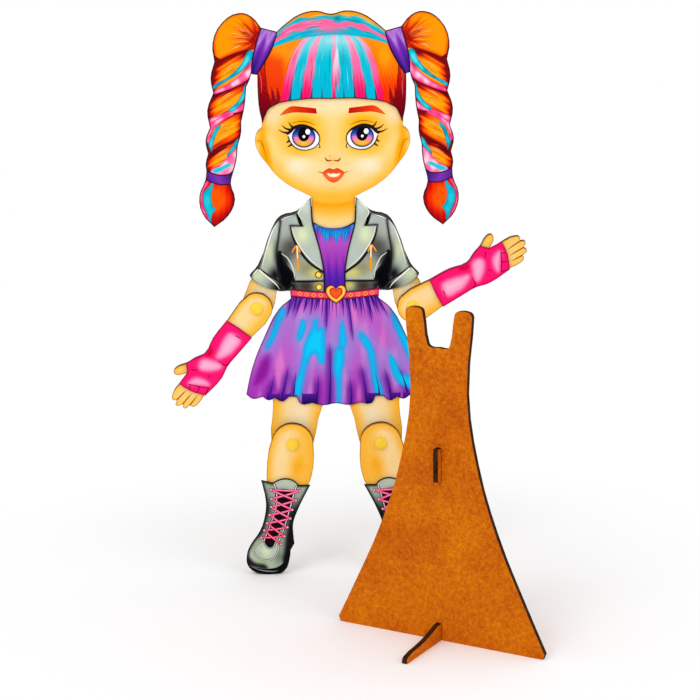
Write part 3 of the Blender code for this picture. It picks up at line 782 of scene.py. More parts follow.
FINGER_LINES = [
    [(73.4, 3.3), (68.5, 2.9), (65.0, 2.4)],
    [(73.2, -1.0), (68.0, -1.1), (64.6, -1.3)],
    [(71.0, -4.7), (67.0, -4.7), (63.6, -4.6)],
]
TOE_LINES = [
    [(9.6, -81.5), (8.8, -77.5)],
    [(6.6, -82.2), (6.0, -78.0)],
    [(3.6, -82.4), (3.4, -78.2)],
    [(0.4, -82.0), (0.8, -77.6)],
]


def arm_paint(spots, rim):
    """Skin of a forearm, golden along its underside and over the fingers."""
    along, up = spots.T
    colour = blend(skin_paint(5)(spots, rim), "#ffba34", 0.8 * ease((1 - up) / 9) * ease((40 - along) / 20))
    return blend(colour, "#ffcb66", 0.7 * ease((along - 58) / 8))


def leg_paint(spots, rim):
    """Skin of a shin, golden along its inner side, with the shade of the knee."""
    colour = blend(skin_paint(7)(spots, rim), "#ffba34", 0.75 * ease((4 - spots[:, 0]) / 11))
    return blend(colour, "#ffaa10", 0.75 * glow(spots, (-5.5, -13), (5.5, 9)))


class PrintSkin(bpy.types.Operator):
    """Prints the face and skin on the main board's facing and on the four limbs"""

    bl_idname = "doll.print_skin"
    bl_label = "Face and skin"

    def execute(self, context):
        finish = printed_finish("printed film", 0.45)
        edge = moulded_finish("film edge", "#d99a2c", 0.5)
        art = Artwork("main_face_sheet", main_plane())
        art.ground(face_paint, 1.1)
        draw_underwear(art)
        draw_face(art)
        art.hem(0.25, "#d08a1c", 4)
        art.make(finish, "printed_skin", edge)
        for side in SIDES:
            arm = Artwork(f"{side}_forearm_face_sheet", limb_plane(side, "elbow"))
            arm.ground(arm_paint, 1.2)
            for line in FINGER_LINES:
                arm.line(line, (0.8, 0.7, 0.15), "#a8620c", 3)
            arm.hem(0.35, "#a06a1c", 4)
            leg = Artwork(f"{side}_shin_face_sheet", limb_plane(side, "knee"))
            leg.ground(leg_paint, 1.4)
            for line in TOE_LINES:
                leg.line(line, (0.6, 0.2), "#c47c14", 3)
            leg.hem(0.35, "#b87a1c", 4)
            for limb in (arm, leg):
                limb.make(finish, "printed_skin", edge)
        return {"FINISHED"}


# Artwork of the hair

PARTING = (1.5, 325.2)
FRINGE_Z = 286.4
COMB_BEND = 0.24

# Locks of the fringe: how far to the doll's left each reaches at the fringe's edge, and its ink
LOCKS = [
    (-30.2, "orange"), (-25.6, "pink"), (-24.2, "gap"), (-18.7, "blue"), (-18.0, "gap"), (-12.5, "pink"),
    (-11.5, "gap"), (0.1, "blue"), (2.6, "pink"), (12.6, "blue"), (14.2, "gap"), (19.7, "pink"),
    (20.2, "gap"), (25.6, "blue"), (26.2, "gap"), (30.4, "pink"), (60.0, "orange"),
]
LOCK_ROOT = {"orange": "#ff8c0c", "pink": "#ff9ec0", "gap": "#a8d4e0", "blue": "#6fd8e2"}
LOCK_MIDDLE = {"orange": "#ff7400", "pink": "#ff6aa2", "gap": "#86a8d0", "blue": "#00bcd6"}
LOCK_TIP = {"orange": "#fb2c00", "pink": "#ff1064", "gap": "#5a5a8c", "blue": "#00b4d2"}

# Bands that sweep back over the crown, from the parting line to the top of the head
CROWN_LEFT = [(0.3, "#00b6d2"), (0.56, "#ff649c"), (0.82, "#00b8d0"), (1.0, "#ff9c06")]
CROWN_RIGHT = [(0.34, "#00b6d2"), (0.66, "#ff649c"), (0.86, "#06b6cc"), (1.0, "#ff9404")]

# Where the hair over the temples begins, as a distance from the middle at each height
TEMPLE_HEIGHTS = (286.0, 294.5, 306.3, 315.0, 321.0, 326.0)
TEMPLE_WIDTHS = (35.5, 37.6, 38.6, 37.2, 34.0, 27.0)

# Inks of the hair over the temples, from the bottom up
TEMPLE_INKS = [
    (0, "#6a000e"), (0.2, "#7c0010"), (0.36, "#a20410"), (0.54, "#cc1408"), (0.7, "#ee3a06"),
    (0.86, "#ff5a08"), (1, "#ff8a0a"),
]

# A pigtail hanging straight, on the doll's left
BUN_ROOT = (41.0, 322.0)
TIE_LINE = "#1e0c34"
LOW_TIE_INKS = [(0, "#4a1c86"), (0.45, "#7a35b0"), (1, "#30145e")]
TIE = [
    (31.0, 326.0, CORNER), (35.5, 328.8), (40.4, 328.6, CORNER), (42.9, 320.8), (45.4, 311.0),
    (46.0, 301.4, CORNER), (42.8, 301.8, CORNER), (37.6, 310.0), (33.7, 317.6),
]
BUN = [
    (67.0, 313.4, CORNER), (67.9, 321.4), (65.6, 329.5), (60.9, 334.3), (54.5, 337.2), (48.0, 336.9),
    (42.4, 332.7), (39.1, 329.1, CORNER), (41.2, 321.4), (43.7, 316.4, CORNER), (50.1, 316.0),
    (58.1, 313.4), (66.1, 309.8, CORNER),
]
BUN_CREASE = [
    (67.2, 313.4, CORNER), (62.5, 311.0), (55.7, 313.8), (45.3, 316.8, CORNER), (52.5, 313.8),
    (59.7, 311.4), (66.1, 307.1, CORNER),
]

# Dark crease between two twists, from the lower one's top corner
TWIST_CREASE = [(1.5, 1.5, CORNER), (-10, 3.4, CORNER), (-3, -1.0), (2.5, -5.5, CORNER)]

# Each twist of the braid: its outline, its blue stripe and its pink stripe
TWISTS = [
    (
        [
            (66.1, 307.1, CORNER), (59.7, 311.6), (51.7, 314.3), (46.5, 316.2), (44.1, 313.4),
            (43.8, 308.6), (45.1, 302.9), (48.3, 298.9, CORNER), (55.5, 294.9), (61.9, 292.5),
            (67.1, 290.9, CORNER), (67.6, 297.3), (66.8, 302.9),
        ],
        [
            (47.7, 315.4), (45.5, 316.0), (44.6, 313.4), (46.8, 308.6), (51.6, 303.7), (56.3, 300.5),
            (61.9, 297.3), (67.7, 293.7, CORNER), (67.5, 296.1), (60.4, 300.1), (54.8, 304.5),
            (50.9, 309.4),
        ],
        [
            (44.9, 312.6), (43.8, 308.6), (45.1, 302.9), (48.3, 298.9), (55.5, 294.9), (61.9, 292.5),
            (67.1, 290.9, CORNER), (66.7, 292.9), (59.5, 296.5), (53.1, 301.3), (47.6, 306.5),
        ],
    ),
    (
        [
            (67.1, 290.9, CORNER), (61.9, 292.3), (55.5, 294.7), (48.3, 298.9, CORNER), (46.2, 294.9),
            (46.1, 290.1), (48.1, 285.2), (50.4, 281.2, CORNER), (55.2, 280.0), (61.6, 278.0),
            (68.7, 274.8, CORNER), (70.0, 281.2), (69.4, 286.8),
        ],
        [
            (48.7, 296.9), (46.6, 296.5), (46.2, 292.5), (49.7, 287.7), (54.5, 282.0), (58.9, 280.8),
            (54.5, 285.6), (51.4, 290.1),
        ],
        [
            (46.2, 291.3), (46.5, 287.7), (49.6, 282.0), (55.2, 280.0), (62.4, 278.0), (68.6, 273.6),
            (69.7, 276.4), (65.7, 278.4), (59.3, 280.8), (53.7, 282.8), (48.9, 287.2),
        ],
    ),
    (
        [
            (68.7, 274.8, CORNER), (62.4, 277.8), (55.2, 280.0), (50.4, 281.2, CORNER), (49.2, 276.4),
            (49.5, 270.8), (51.8, 265.1, CORNER), (57.4, 262.7), (63.0, 260.7), (68.4, 257.1, CORNER),
            (70.9, 262.7), (71.3, 267.6), (70.4, 271.6),
        ],
        [
            (63.2, 273.2), (65.5, 268.4), (67.1, 263.5), (68.4, 257.1, CORNER), (70.2, 261.9),
            (68.5, 266.7), (66.4, 271.2),
        ],
        [
            (68.7, 274.4), (63.2, 277.6), (56.0, 279.8), (60.8, 276.4), (65.6, 272.8), (69.1, 267.6),
            (70.4, 262.7), (71.3, 266.7), (70.5, 270.8),
        ],
    ),
    (
        [
            (68.4, 257.1, CORNER), (63.0, 260.6), (57.4, 262.7), (51.8, 265.1, CORNER), (50.8, 260.3),
            (51.6, 254.7), (54.0, 249.9), (55.7, 245.8, CORNER), (63.5, 243.8), (71.2, 247.5, CORNER),
            (71.5, 252.3), (70.1, 255.5),
        ],
        [(53.8, 264.7), (51.8, 264.7), (53.2, 261.1), (57.3, 256.3), (59.7, 254.7), (56.6, 260.3)],
        [
            (51.1, 262.7), (51.6, 254.7), (54.0, 249.9), (56.3, 245.0), (62.7, 243.6), (69.2, 245.8),
            (62.8, 250.7), (57.3, 256.3), (53.3, 260.3),
        ],
    ),
]
LOW_GLEAM = [(68.2, 246.5), (62.8, 248.9), (57.2, 250.3), (61.2, 247.1), (65.2, 245.2)]
LOW_TIE = [
    (72.3, 247.1, CORNER), (65.2, 244.1), (58.7, 244.2), (55.2, 246.8, CORNER), (55.9, 242.6),
    (57.4, 238.6, CORNER), (63.5, 238.4), (69.1, 240.2), (72.9, 242.6, CORNER),
]
TASSEL_PINK = [
    (71.1, 240.6), (75.1, 236.2), (77.0, 230.6), (75.7, 224.9), (71.6, 218.5), (69.1, 215.3),
    (71.7, 221.7), (73.7, 227.4), (73.4, 233.8), (69.9, 239.8),
]
TASSEL_BLUE = [
    (67.5, 239.4), (69.9, 237.0), (73.0, 233.8), (73.3, 227.4), (71.2, 221.7), (68.7, 214.5, CORNER),
    (67.9, 220.9), (65.7, 223.7, CORNER), (67.9, 226.5), (68.6, 232.2), (67.8, 236.2),
]


def lock_inks(codes):
    """The fringe's locks in one row of inks, moved as far as the chosen colours are from the usual ones."""
    chosen = {"blue": tone("streak_blue"), "pink": tone("streak_pink"), "orange": tone("hair_orange")}
    usual = {"blue": STREAK_BLUE, "pink": STREAK_PINK, "orange": HAIR_ORANGE}
    inks = {name: hue(code) for name, code in codes.items()}
    for name in chosen:
        inks[name] = inks[name] + chosen[name] - hue(usual[name])
    return [(limit, inks[name]) for limit, name in LOCKS]


def spikes(t, period):
    """A saw-toothed row of strand tips, from 0 to 1."""
    return np.abs((t / period) % 1 - 0.5) * 2


def fringe_paint(spots, rim):
    """Locks combed down from the parting, pale at the root and deep at the tip."""
    x, z = spots.T
    depth = np.clip((PARTING[1] - z) / (PARTING[1] - FRINGE_Z), 0.03, 1.3)
    comb = PARTING[0] + (x - PARTING[0]) / depth**COMB_BEND
    frayed = comb + 0.5 * ripple(comb * 0.5, z / 11, 1.0) + 0.7 * (spikes(z + 3 * comb, 13) - 0.5)
    rows = (LOCK_ROOT, LOCK_MIDDLE, LOCK_TIP)
    root, middle, tip = (banded(frayed, lock_inks(codes), 0.6) for codes in rows)
    colour = blend(root, middle, ease((depth - 0.1) / 0.35))
    colour = blend(colour, tip, ease((depth - 0.5 + 0.16 * (spikes(comb, 2.3) - 0.5)) / 0.4))
    fork = 0.5 + 2.6 * ease((320 - z) / 22)
    lock = ease((fork - np.abs(x - 2.8 + 0.03 * (310 - z))) / 0.7)
    lock = lock * ease((z - 291 - 10 * spikes(x, 2.4)) / 1.5)
    colour = blend(colour, blend("#ff7cae", "#ffdce8", ease((z - 296) / 16)), 0.9 * lock)
    flank = ease((np.abs(comb - PARTING[0]) - 31) / 1.5)
    bright = glow(np.column_stack([np.abs(x - 1.0), z]), (29.5, 311.5), (6.5, 9))
    colour = blend(colour, "#ffa60c", 0.85 * flank * bright)
    colour = blend(colour, "#f23c04", 0.8 * flank * ease((303 - z - 5 * spikes(x, 2.4)) / 9))
    redder = ease((-24 - x) / 6) * ease((317 - z) / 9)
    colour = blend(colour, "#e83408", 0.75 * flank * redder)
    jagged = 287.5 + 8.5 * spikes(x + 0.15 * z, 3.1) * ease((np.abs(x) - 26) / 5)
    return blend(colour, "#8c0812", flank * ease((jagged - z) / 1.4))


def temple_paint(spots, rim):
    """Hair drawn back to the ties: bright strands at the top, dark red at the bottom."""
    x, z = spots.T
    level = (z - 277) / 48 + 0.1 * (spikes(z - 0.8 * np.abs(x), 3.4) - 0.5)
    return ramp(level, TEMPLE_INKS)


def part_line(x):
    """Height of the line where the fringe meets the hair swept back over the crown."""
    return PARTING[1] - 1.0 - 0.0055 * (x - PARTING[0]) ** 2


def crown_top(x):
    return 337.8 - 0.00038 * np.abs(x) ** 3


def crown_paint(spots, rim):
    """Bands swept back over the crown, which run together in pink at the parting."""
    x, z = spots.T
    level = (z - part_line(x)) / np.maximum(crown_top(x) - part_line(x), 1.0)
    level = level + 0.09 * ripple(x / 9, level * 3, 0.6) + 0.1 * (spikes(x + 14 * level, 11) - 0.5)
    right, left = (banded(level, bands, 0.05) for bands in (CROWN_RIGHT, CROWN_LEFT))
    colour = blend(right, left, ease((x - PARTING[0]) / 3 + 0.5))
    colour = blend(colour, "#ff6a9e", 0.95 * glow(spots, (PARTING[0] - 3, 328.6), (15, 5)))
    return blend(colour, "#087f92", glow(spots, (3.6, 333.6), (2.6, 1.8)))


def hair_paint(spots, rim):
    """The whole head of hair, and dark red under the pigtails."""
    x, z = spots.T
    temple = np.abs(x) - np.interp(z, TEMPLE_HEIGHTS, TEMPLE_WIDTHS)
    head = blend(fringe_paint(spots, rim), temple_paint(spots, rim), ease(temple / 0.7 + 0.5))
    head = blend(head, crown_paint(spots, rim), ease((z - part_line(x)) / 0.8 + 0.5))
    head = blend(head, "#fff0f4", 0.3 * glow(spots, (PARTING[0] + 1, 321.0), (12, 3.5)))
    return blend(head, "#7e0a10", ease((np.abs(x) - 46.2) / 0.6))


def twist_paint(spots, rim):
    """Orange in the middle of a twist, through red to dark red at its edge, with strands across it."""
    x, z = spots.T
    along = z + 0.6 * np.abs(x)
    strand = np.sin(1.7 * along) + 0.6 * np.sin(2.9 * along + 1)
    inner = (56 + 0.11 * (300 - z) - np.abs(x)) / 9
    level = rim / 5.0 - 0.04 + 0.17 * strand * ease(rim / 1.5) - 0.5 * ease(inner)
    inks = [(0.0, "#7a0810"), (0.16, "#c81c06"), (0.42, "#ff4a00")]
    inks += [(0.72, tone("hair_orange")), (1.1, "#ffa808")]
    return ramp(level, inks)


def bun_paint(tie):
    """Strands that spread from the tie over the bun."""

    def paint(spots, rim):
        offset = spots - np.array(tie)
        reach = np.linalg.norm(offset, axis=1)
        turn = np.arctan2(offset[:, 1], np.abs(offset[:, 0]))
        rays = np.sin(17 * turn) + 0.6 * np.sin(31 * turn + 1)
        level = ease((reach - 3 - 2.5 * rays) / 15) * ease(rim / 3.5 + 0.25)
        return ramp(level, [(0, "#980c06"), (0.25, "#ee3806"), (0.6, "#ff7600"), (1, "#ff9600")])

    return paint


def tassel_paint(spots, rim):
    x, z = spots.T
    strand = np.sin(1.9 * x + 0.12 * z * np.sign(x))
    level = rim / 7 + 0.08 * strand
    colour = ramp(level, [(0, "#7a0010"), (0.25, "#c80e08"), (0.6, "#f82c00"), (1, "#ff5600")])
    return blend(colour, "#a00410", 0.6 * ease((226 - z) / 10))


def tie_paint(side):
    """A gathered band: pale at its top, dark at its foot, with folds along it."""

    def paint(spots, rim):
        x, z = side * spots[:, 0], spots[:, 1]
        fold = np.sin(1.15 * (x - 0.42 * (328 - z)) + 1.0)
        level = (z - 302) / 26 + 0.16 * fold
        inks = [(0, "#2a1670"), (0.35, "#5a22a0"), (0.6, tone("tie_purple"))]
        inks += [(0.85, "#b684d8"), (1.05, "#a465c8")]
        return blend("#24103c", ramp(level, inks), ease(rim / 0.9))

    return paint


def stripe_paint(name, deep, gleam):
    """A dyed stripe, deep at its edge and pale in patches along its middle."""

    def paint(spots, rim):
        wave = ripple(spots[:, 0] / 3, spots[:, 1] / 3, 0.5)
        colour = blend(deep, tone(name), ease(rim / 1.3 + 0.3 * wave))
        return blend(colour, gleam, ease(0.5 + 0.9 * wave) * ease(rim / 1.6))

    return paint


def fringe_line(comb, start, end):
    """A line down the fringe, between two shares of its depth."""
    depths = np.linspace(start, end, 4)
    drop = PARTING[1] - FRINGE_Z
    return [(PARTING[0] + (comb - PARTING[0]) * d**COMB_BEND, PARTING[1] - d * drop) for d in depths]


def fringe_strands(count):
    pick = np.random.default_rng(11)
    for _ in range(count):
        start = pick.uniform(0.05, 0.6)
        yield fringe_line(pick.uniform(-34, 35), start, start + pick.uniform(0.2, 0.38))


def crown_strands(count):
    """Lines that follow the bands over the crown."""
    pick = np.random.default_rng(12)
    for _ in range(count):
        side, level = pick.choice((-1, 1)), pick.uniform(0.1, 0.92)
        start = pick.uniform(1, 20)
        across = side * np.linspace(start, start + pick.uniform(6, 13), 4)
        yield [(x, part_line(x) + level * (crown_top(x) - part_line(x))) for x in across]


def temple_strands(count):
    """Lines that fan out from each tie over the temple."""
    pick = np.random.default_rng(13)
    for i in range(count):
        side, fall = (-1, 1)[i % 2], pick.uniform(0.1, 1.0)
        root = np.array((45.0 - 3 * fall, 304 + 14 * (1 - fall)))
        tip = root + np.array((-5.5 + 4.5 * fall, -4 - 12 * fall))
        bend = (root + tip) / 2 + (-0.8, 0.6)
        yield [(side * p[0], p[1]) for p in (root, bend, tip)]


def bun_strands(count):
    """Lines that spread from the tie over the bun."""
    pick = np.random.default_rng(16)
    for _ in range(count):
        turn, start = pick.uniform(-0.35, 0.75), pick.uniform(3, 11)
        reaches = np.linspace(start, start + pick.uniform(5, 10), 3)
        turns = turn + np.array((0, 0.06, 0.0))
        x, z = BUN_ROOT
        yield [(x + r * math.cos(a), z + r * math.sin(a)) for r, a in zip(reaches, turns, strict=True)]


def twist_strands(outline, count):
    """Short lines that run up across a twist."""
    spots = np.array([p[:2] for p in outline])
    low, high = spots.min(0), spots.max(0)
    pick = np.random.default_rng(14)
    for _ in range(count):
        x, z = low + (high - low) * pick.uniform((0.3, 0.35), (0.65, 0.7))
        yield [(x + 4.5, z - 2.2), (x, z + 0.5), (x - 4.0, z + 2.0)]


def draw_pigtail(art, side):
    def at(points):
        lean = SWAY[side] / PIGTAIL_LENGTH
        return [(side * (p[0] + lean * (PIGTAIL_TOP - p[1])), *p[1:]) for p in points]

    seam = "#5e060c"
    bun = bun_paint(at([BUN_ROOT])[0])
    art.shape(at(BUN), bun, 2)
    art.strands([at(line) for line in bun_strands(22)], bun, 3, 0.7, 4)
    art.shape(at(BUN_CREASE), plain("#7a0a10"), 4.5)
    for i, (outline, blue, pink) in enumerate(TWISTS):
        art.shape(at(outline), twist_paint, 2, 0.6)
        if i:
            x, z = outline[0][:2]
            crease = [(x + p[0], z + p[1], *p[2:]) for p in TWIST_CREASE]
            art.shape(at(crease), shaded("#8e0c0a", "#5c040c", 1.5), 3.2)
        art.shape(at(pink), stripe_paint("streak_pink", "#f0307c", "#ffd2e2"), 4, 0.8)
        art.shape(at(blue), stripe_paint("streak_blue", "#007f9c", "#4fe0e6"), 5, 0.8)
        art.line(at(outline[:4]), (0.3, 0.9, 0.3), seam, 3.5)
        art.strands([at(line) for line in twist_strands(outline, 8)], twist_paint, 3, 0.5, len(outline))
    art.shape(at(LOW_GLEAM), shaded("#5fd0dc", "#1cc6da", 0.8), 6, 0.8)
    tassel = [p for p in art.loops[0] if p[1] < 242 and side * p[0] > 50]
    order = np.argsort([math.atan2(p[1] - 229, side * p[0] - 66) for p in tassel])
    art.shape([tuple(tassel[i]) for i in order], tassel_paint, 2, 0.9)
    art.shape(at(TASSEL_PINK), stripe_paint("streak_pink", "#f81f6c", "#ff8fb8"), 4, 0.8)
    art.shape(at(TASSEL_BLUE), stripe_paint("streak_blue", "#0090b0", "#22c8dc"), 5, 0.8)
    art.shape(at(LOW_TIE), graded(*at([(72, 240), (56, 246)]), LOW_TIE_INKS), 7, 0.9)
    art.line(at([(72.3, 247.0), (65.2, 244.1), (58.7, 244.2), (55.2, 246.8)]), 0.6, TIE_LINE, 8)
    art.line(at([(72.7, 242.7), (69.1, 240.2), (63.5, 238.4), (57.4, 238.6)]), 0.6, TIE_LINE, 8)
    art.shape(at(TIE), tie_paint(side), 8, 0.8)
    art.line(at([TIE[0], TIE[8], TIE[7], TIE[6]]), (0.4, 0.9, 0.6), TIE_LINE, 9)
    art.line(at([(40.4, 328.4), (42.7, 320.8), (45.0, 311.0), (45.8, 301.6)]), (0.5, 0.7, 0.5), TIE_LINE, 9)


class PrintHair(bpy.types.Operator):
    """Prints the hair piece with its fringe, ties and braided pigtails"""

    bl_idname = "doll.print_hair"
    bl_label = "Hair"

    def execute(self, context):
        art = Artwork("wig", main_plane())
        art.ground(hair_paint, 0.6)
        art.strands(fringe_strands(64), hair_paint, 2, 0.5, 1)
        art.strands(crown_strands(44), hair_paint, 2, 0.6, 2)
        art.strands(temple_strands(26), hair_paint, 2, 0.8, 3)
        for side in (-1, 1):
            draw_pigtail(art, side)
            temple = [(side * TEMPLE_WIDTHS[i], TEMPLE_HEIGHTS[i]) for i in (5, 4, 3, 2, 1)]
            art.line(temple, (0.2, 0.6, 0.3), "#5a140c", 3)
        for comb in (-24.6, -18.2, -12.0, -6.0, 7.0, 13.4, 20.0, 25.9):
            art.line(fringe_line(comb, 0.8, 0.985), (0.1, 0.4, 0.8), "#262040", 4)
        art.hem(0.55, "#3a0d14", 10)
        rubber = moulded_finish("magnet rubber of the hair", "#3a2a2c", 0.6)
        art.make(printed_finish("printed hair magnet"), "printed_hair", rubber)
        return {"FINISHED"}


# Artwork of the outfit; halves are drawn on the doll's left

LAPEL = [
    (13.1, 230.3, CORNER), (17.8, 226.7), (21.8, 221.0, CORNER), (19.9, 217.1), (18.0, 213.2, CORNER),
    (25.5, 213.4, CORNER), (24.0, 206.9), (20.3, 199.3), (14.5, 191.7), (6.2, 185.7, CORNER),
    (8.1, 197.6), (10.5, 206.9), (12.5, 214.9), (13.0, 222.9),
]
LAPEL_NOTCH = [(22.1, 220.7, CORNER), (20.4, 219.9), (18.1, 213.4, CORNER), (20.1, 214.0), (21.3, 217.4)]
JACKET_SIDE = [
    (22.1, 221.0, CORNER), (31.0, 218.1, CORNER), (32.4, 207.7), (33.6, 199.3), (33.5, 188.3),
    (31.5, 180.8), (25.6, 179.9), (6.3, 180.3, CORNER), (6.2, 185.7), (14.5, 191.7), (20.3, 199.3),
    (24.0, 206.9), (25.5, 213.4, CORNER), (18.0, 213.2, CORNER),
]
SLEEVE = [
    (31.0, 218.1, CORNER), (36.1, 212.8), (40.5, 201.8), (44.0, 190.0, CORNER), (44.9, 188.3),
    (38.2, 183.3), (32.4, 180.8), (33.1, 188.3), (33.6, 199.3), (32.4, 207.7),
]
CUFF = [
    (44.9, 188.8, CORNER), (48.7, 185.0), (49.4, 181.6, CORNER), (41.7, 176.1), (30.8, 172.8, CORNER),
    (29.5, 176.6), (32.4, 179.9), (39.1, 184.1),
]
UNDERARM = [
    (32.9, 198.5), (31.3, 198.5), (28.8, 191.7), (23.9, 185.0), (23.1, 181.6), (25.7, 176.6),
    (29.1, 174.9), (32.4, 177.4), (33.6, 185.0), (34.1, 191.7),
]
WAISTBAND = [
    (26.1, 180.3, CORNER), (16.4, 180.1), (6.1, 180.3, CORNER), (6.2, 173.6, CORNER), (16.5, 174.0),
    (24.9, 175.3, CORNER),
]
LAPEL_EDGE = [(25.6, 213.4), (24.2, 206.9), (20.5, 199.2), (14.6, 191.4), (6.2, 185.2)]
LAPEL_GLEAM = [(24.5, 212.2), (22.9, 206.6), (19.4, 199.8), (13.8, 192.8), (7.8, 187.8)]
FRONT_EDGE = [
    (13.1, 230.0), (13.0, 222.9), (12.5, 214.9), (10.5, 206.9), (8.1, 197.6), (6.2, 185.7), (6.2, 173.6),
]
ARM_SEAM = [(31.0, 218.0), (32.4, 207.7), (33.6, 199.3), (33.4, 188.3), (32.0, 180.8)]
POCKET_EDGE = [(31.0, 197.0), (27.5, 194.2), (24.4, 187.9), (23.4, 181.8)]
ZIP = [(21.8, 201.6), (21.6, 194.0), (21.3, 187.1)]
ZIP_FLAP = [(21.9, 201.7), (23.6, 199.8), (24.9, 197.6)]
BUTTONS = [(-9.4, 184.0), (-9.2, 176.6)]

# Seams, gleams and zips of the jacket: points, widths, ink and layer
GLEAM = "#f6f8ec"
ZIP_YELLOW = "#f59a16"
JACKET_STROKES = [
    (LAPEL_EDGE, (0.5, 1.5, 1.3), OUTLINE, 8),
    ([(18.0, 213.2), (21.5, 213.3), (25.5, 213.4)], 0.6, OUTLINE, 8),
    (LAPEL_GLEAM, (0.3, 0.6, 0.3), GLEAM, 9),
    ([(14.4, 228.2), (17.0, 225.8), (20.6, 221.2), (18.6, 217.0)], (0.3, 0.6, 0.3), GLEAM, 9),
    (FRONT_EDGE, 0.7, OUTLINE, 9),
    (POCKET_EDGE, (0.3, 0.9, 0.3), "#d8dcd4", 6),
    (ARM_SEAM, (0.2, 0.6, 1.2), OUTLINE, 8),
    ([(24.0, 219.6), (28.0, 218.4), (31.0, 217.0)], (0.2, 0.6, 0.2), GLEAM, 8),
    ([(32.4, 216.2), (36.0, 210.6), (39.2, 201.5), (42.4, 190.2)], (0.2, 0.8, 0.3), GLEAM, 8),
    ([(44.8, 188.6), (39.1, 184.1), (32.4, 179.9), (29.6, 176.8)], (0.6, 1.0, 0.5), OUTLINE, 9),
    ([(44.4, 187.4), (40.0, 183.4), (34.5, 178.5), (32.4, 175.4)], (0.9, 0.8, 0.1), GLEAM, 10),
    ([(47.9, 184.6), (46.2, 186.6), (44.9, 187.8)], (0.3, 0.7, 0.3), GLEAM, 10),
    ([(26.0, 180.3), (16.4, 180.1), (6.3, 180.3)], (0.9, 1.1, 0.6), OUTLINE, 9),
    ([(24.8, 175.0), (16.5, 173.9), (6.2, 173.5)], 0.6, OUTLINE, 9),
    (ZIP, (1.2, 1.2, 1.7), ZIP_YELLOW, 9),
    (ZIP[:2], 0.6, "#fff2da", 10),
    (ZIP_FLAP, (1.2, 0.7), ZIP_YELLOW, 9),
    ([(21.7, 201.4), (19.9, 197.6)], (1.2, 0.7), "#f5a62c", 9),
]

BODICE = [
    (-12.3, 215.3, CORNER), (-5.8, 212.8), (0.9, 211.9), (7.7, 212.8), (12.8, 215.3, CORNER),
    (10.1, 201.8), (7.7, 185.8), (8.1, 172.5, CORNER), (-6.4, 172.5, CORNER), (-6.4, 185.8),
    (-9.3, 200.1),
]
BODICE_INKS = [(0, "#3a1a98"), (0.22, "#5a22b0"), (0.42, "#9a34b8"), (0.7, "#b44cc0"), (1, "#a85cc8")]
NECKLINE = [(-12.3, 215.1), (-5.8, 212.7), (0.9, 211.9), (7.7, 212.7), (12.8, 215.1)]
GATHERS = [
    (-11.4, 213.6), (-7.4, 208.6), (-4.1, 202.6, CORNER), (-1.7, 207.3), (1.6, 201.6, CORNER),
    (4.1, 207.3), (5.9, 202.6, CORNER), (8.5, 207.7), (11.8, 213.4), (7.7, 212.2), (0.9, 211.4),
    (-5.8, 212.2),
]
FLAMES = [
    [(-19.3, 157.2), (-17.6, 154.7), (-18.1, 150.5), (-21.1, 144.1), (-22.6, 146.2), (-21.4, 152.1)],
    [
        (-11.3, 157.6), (-10.1, 151.3), (-7.5, 152.1), (-6.3, 148.8), (-7.0, 131.1), (-9.6, 130.2),
        (-12.0, 136.1), (-15.4, 133.6), (-18.1, 126.0), (-19.9, 117.6), (-22.9, 110.0), (-24.5, 117.6),
        (-22.3, 123.5), (-19.6, 134.5), (-18.7, 141.2), (-16.0, 147.9), (-13.9, 151.3),
    ],
    [(3.9, 155.5), (5.5, 151.3), (6.6, 143.7), (4.9, 138.7), (2.8, 138.7), (2.6, 147.1)],
    [
        (0.7, 139.5), (4.5, 138.7), (5.2, 131.9), (3.4, 123.5), (2.8, 110.9), (2.3, 105.8), (0.6, 105.8),
        (0.3, 117.6), (-1.2, 126.0), (-0.7, 134.5),
    ],
    [
        (14.3, 148.8), (18.5, 146.2), (21.3, 142.0), (23.3, 134.5), (25.2, 121.8), (28.0, 110.9),
        (24.2, 110.0), (22.2, 117.6), (20.7, 128.6), (18.8, 137.8), (15.5, 143.7),
    ],
    [
        (34.7, 161.4), (37.1, 156.4), (43.7, 144.6), (51.1, 130.2), (51.0, 123.5), (46.8, 126.9),
        (42.7, 134.5), (37.8, 146.2), (34.6, 154.7),
    ],
    [
        (31.8, 135.3), (35.9, 131.1), (39.2, 123.5), (46.7, 121.8), (50.0, 117.6), (49.5, 113.8),
        (41.6, 115.1), (35.7, 120.1),
    ],
    [
        (-31.8, 163.9), (-29.3, 162.2), (-32.8, 154.7), (-35.4, 147.1), (-38.0, 142.9), (-41.4, 139.5),
        (-39.2, 146.2), (-36.1, 154.7),
    ],
]
HEM_PATCH = [
    (-44.9, 131.1), (-39.8, 137.0), (-39.1, 129.4), (-41.7, 121.8), (-46.8, 117.6), (-49.3, 117.6),
]

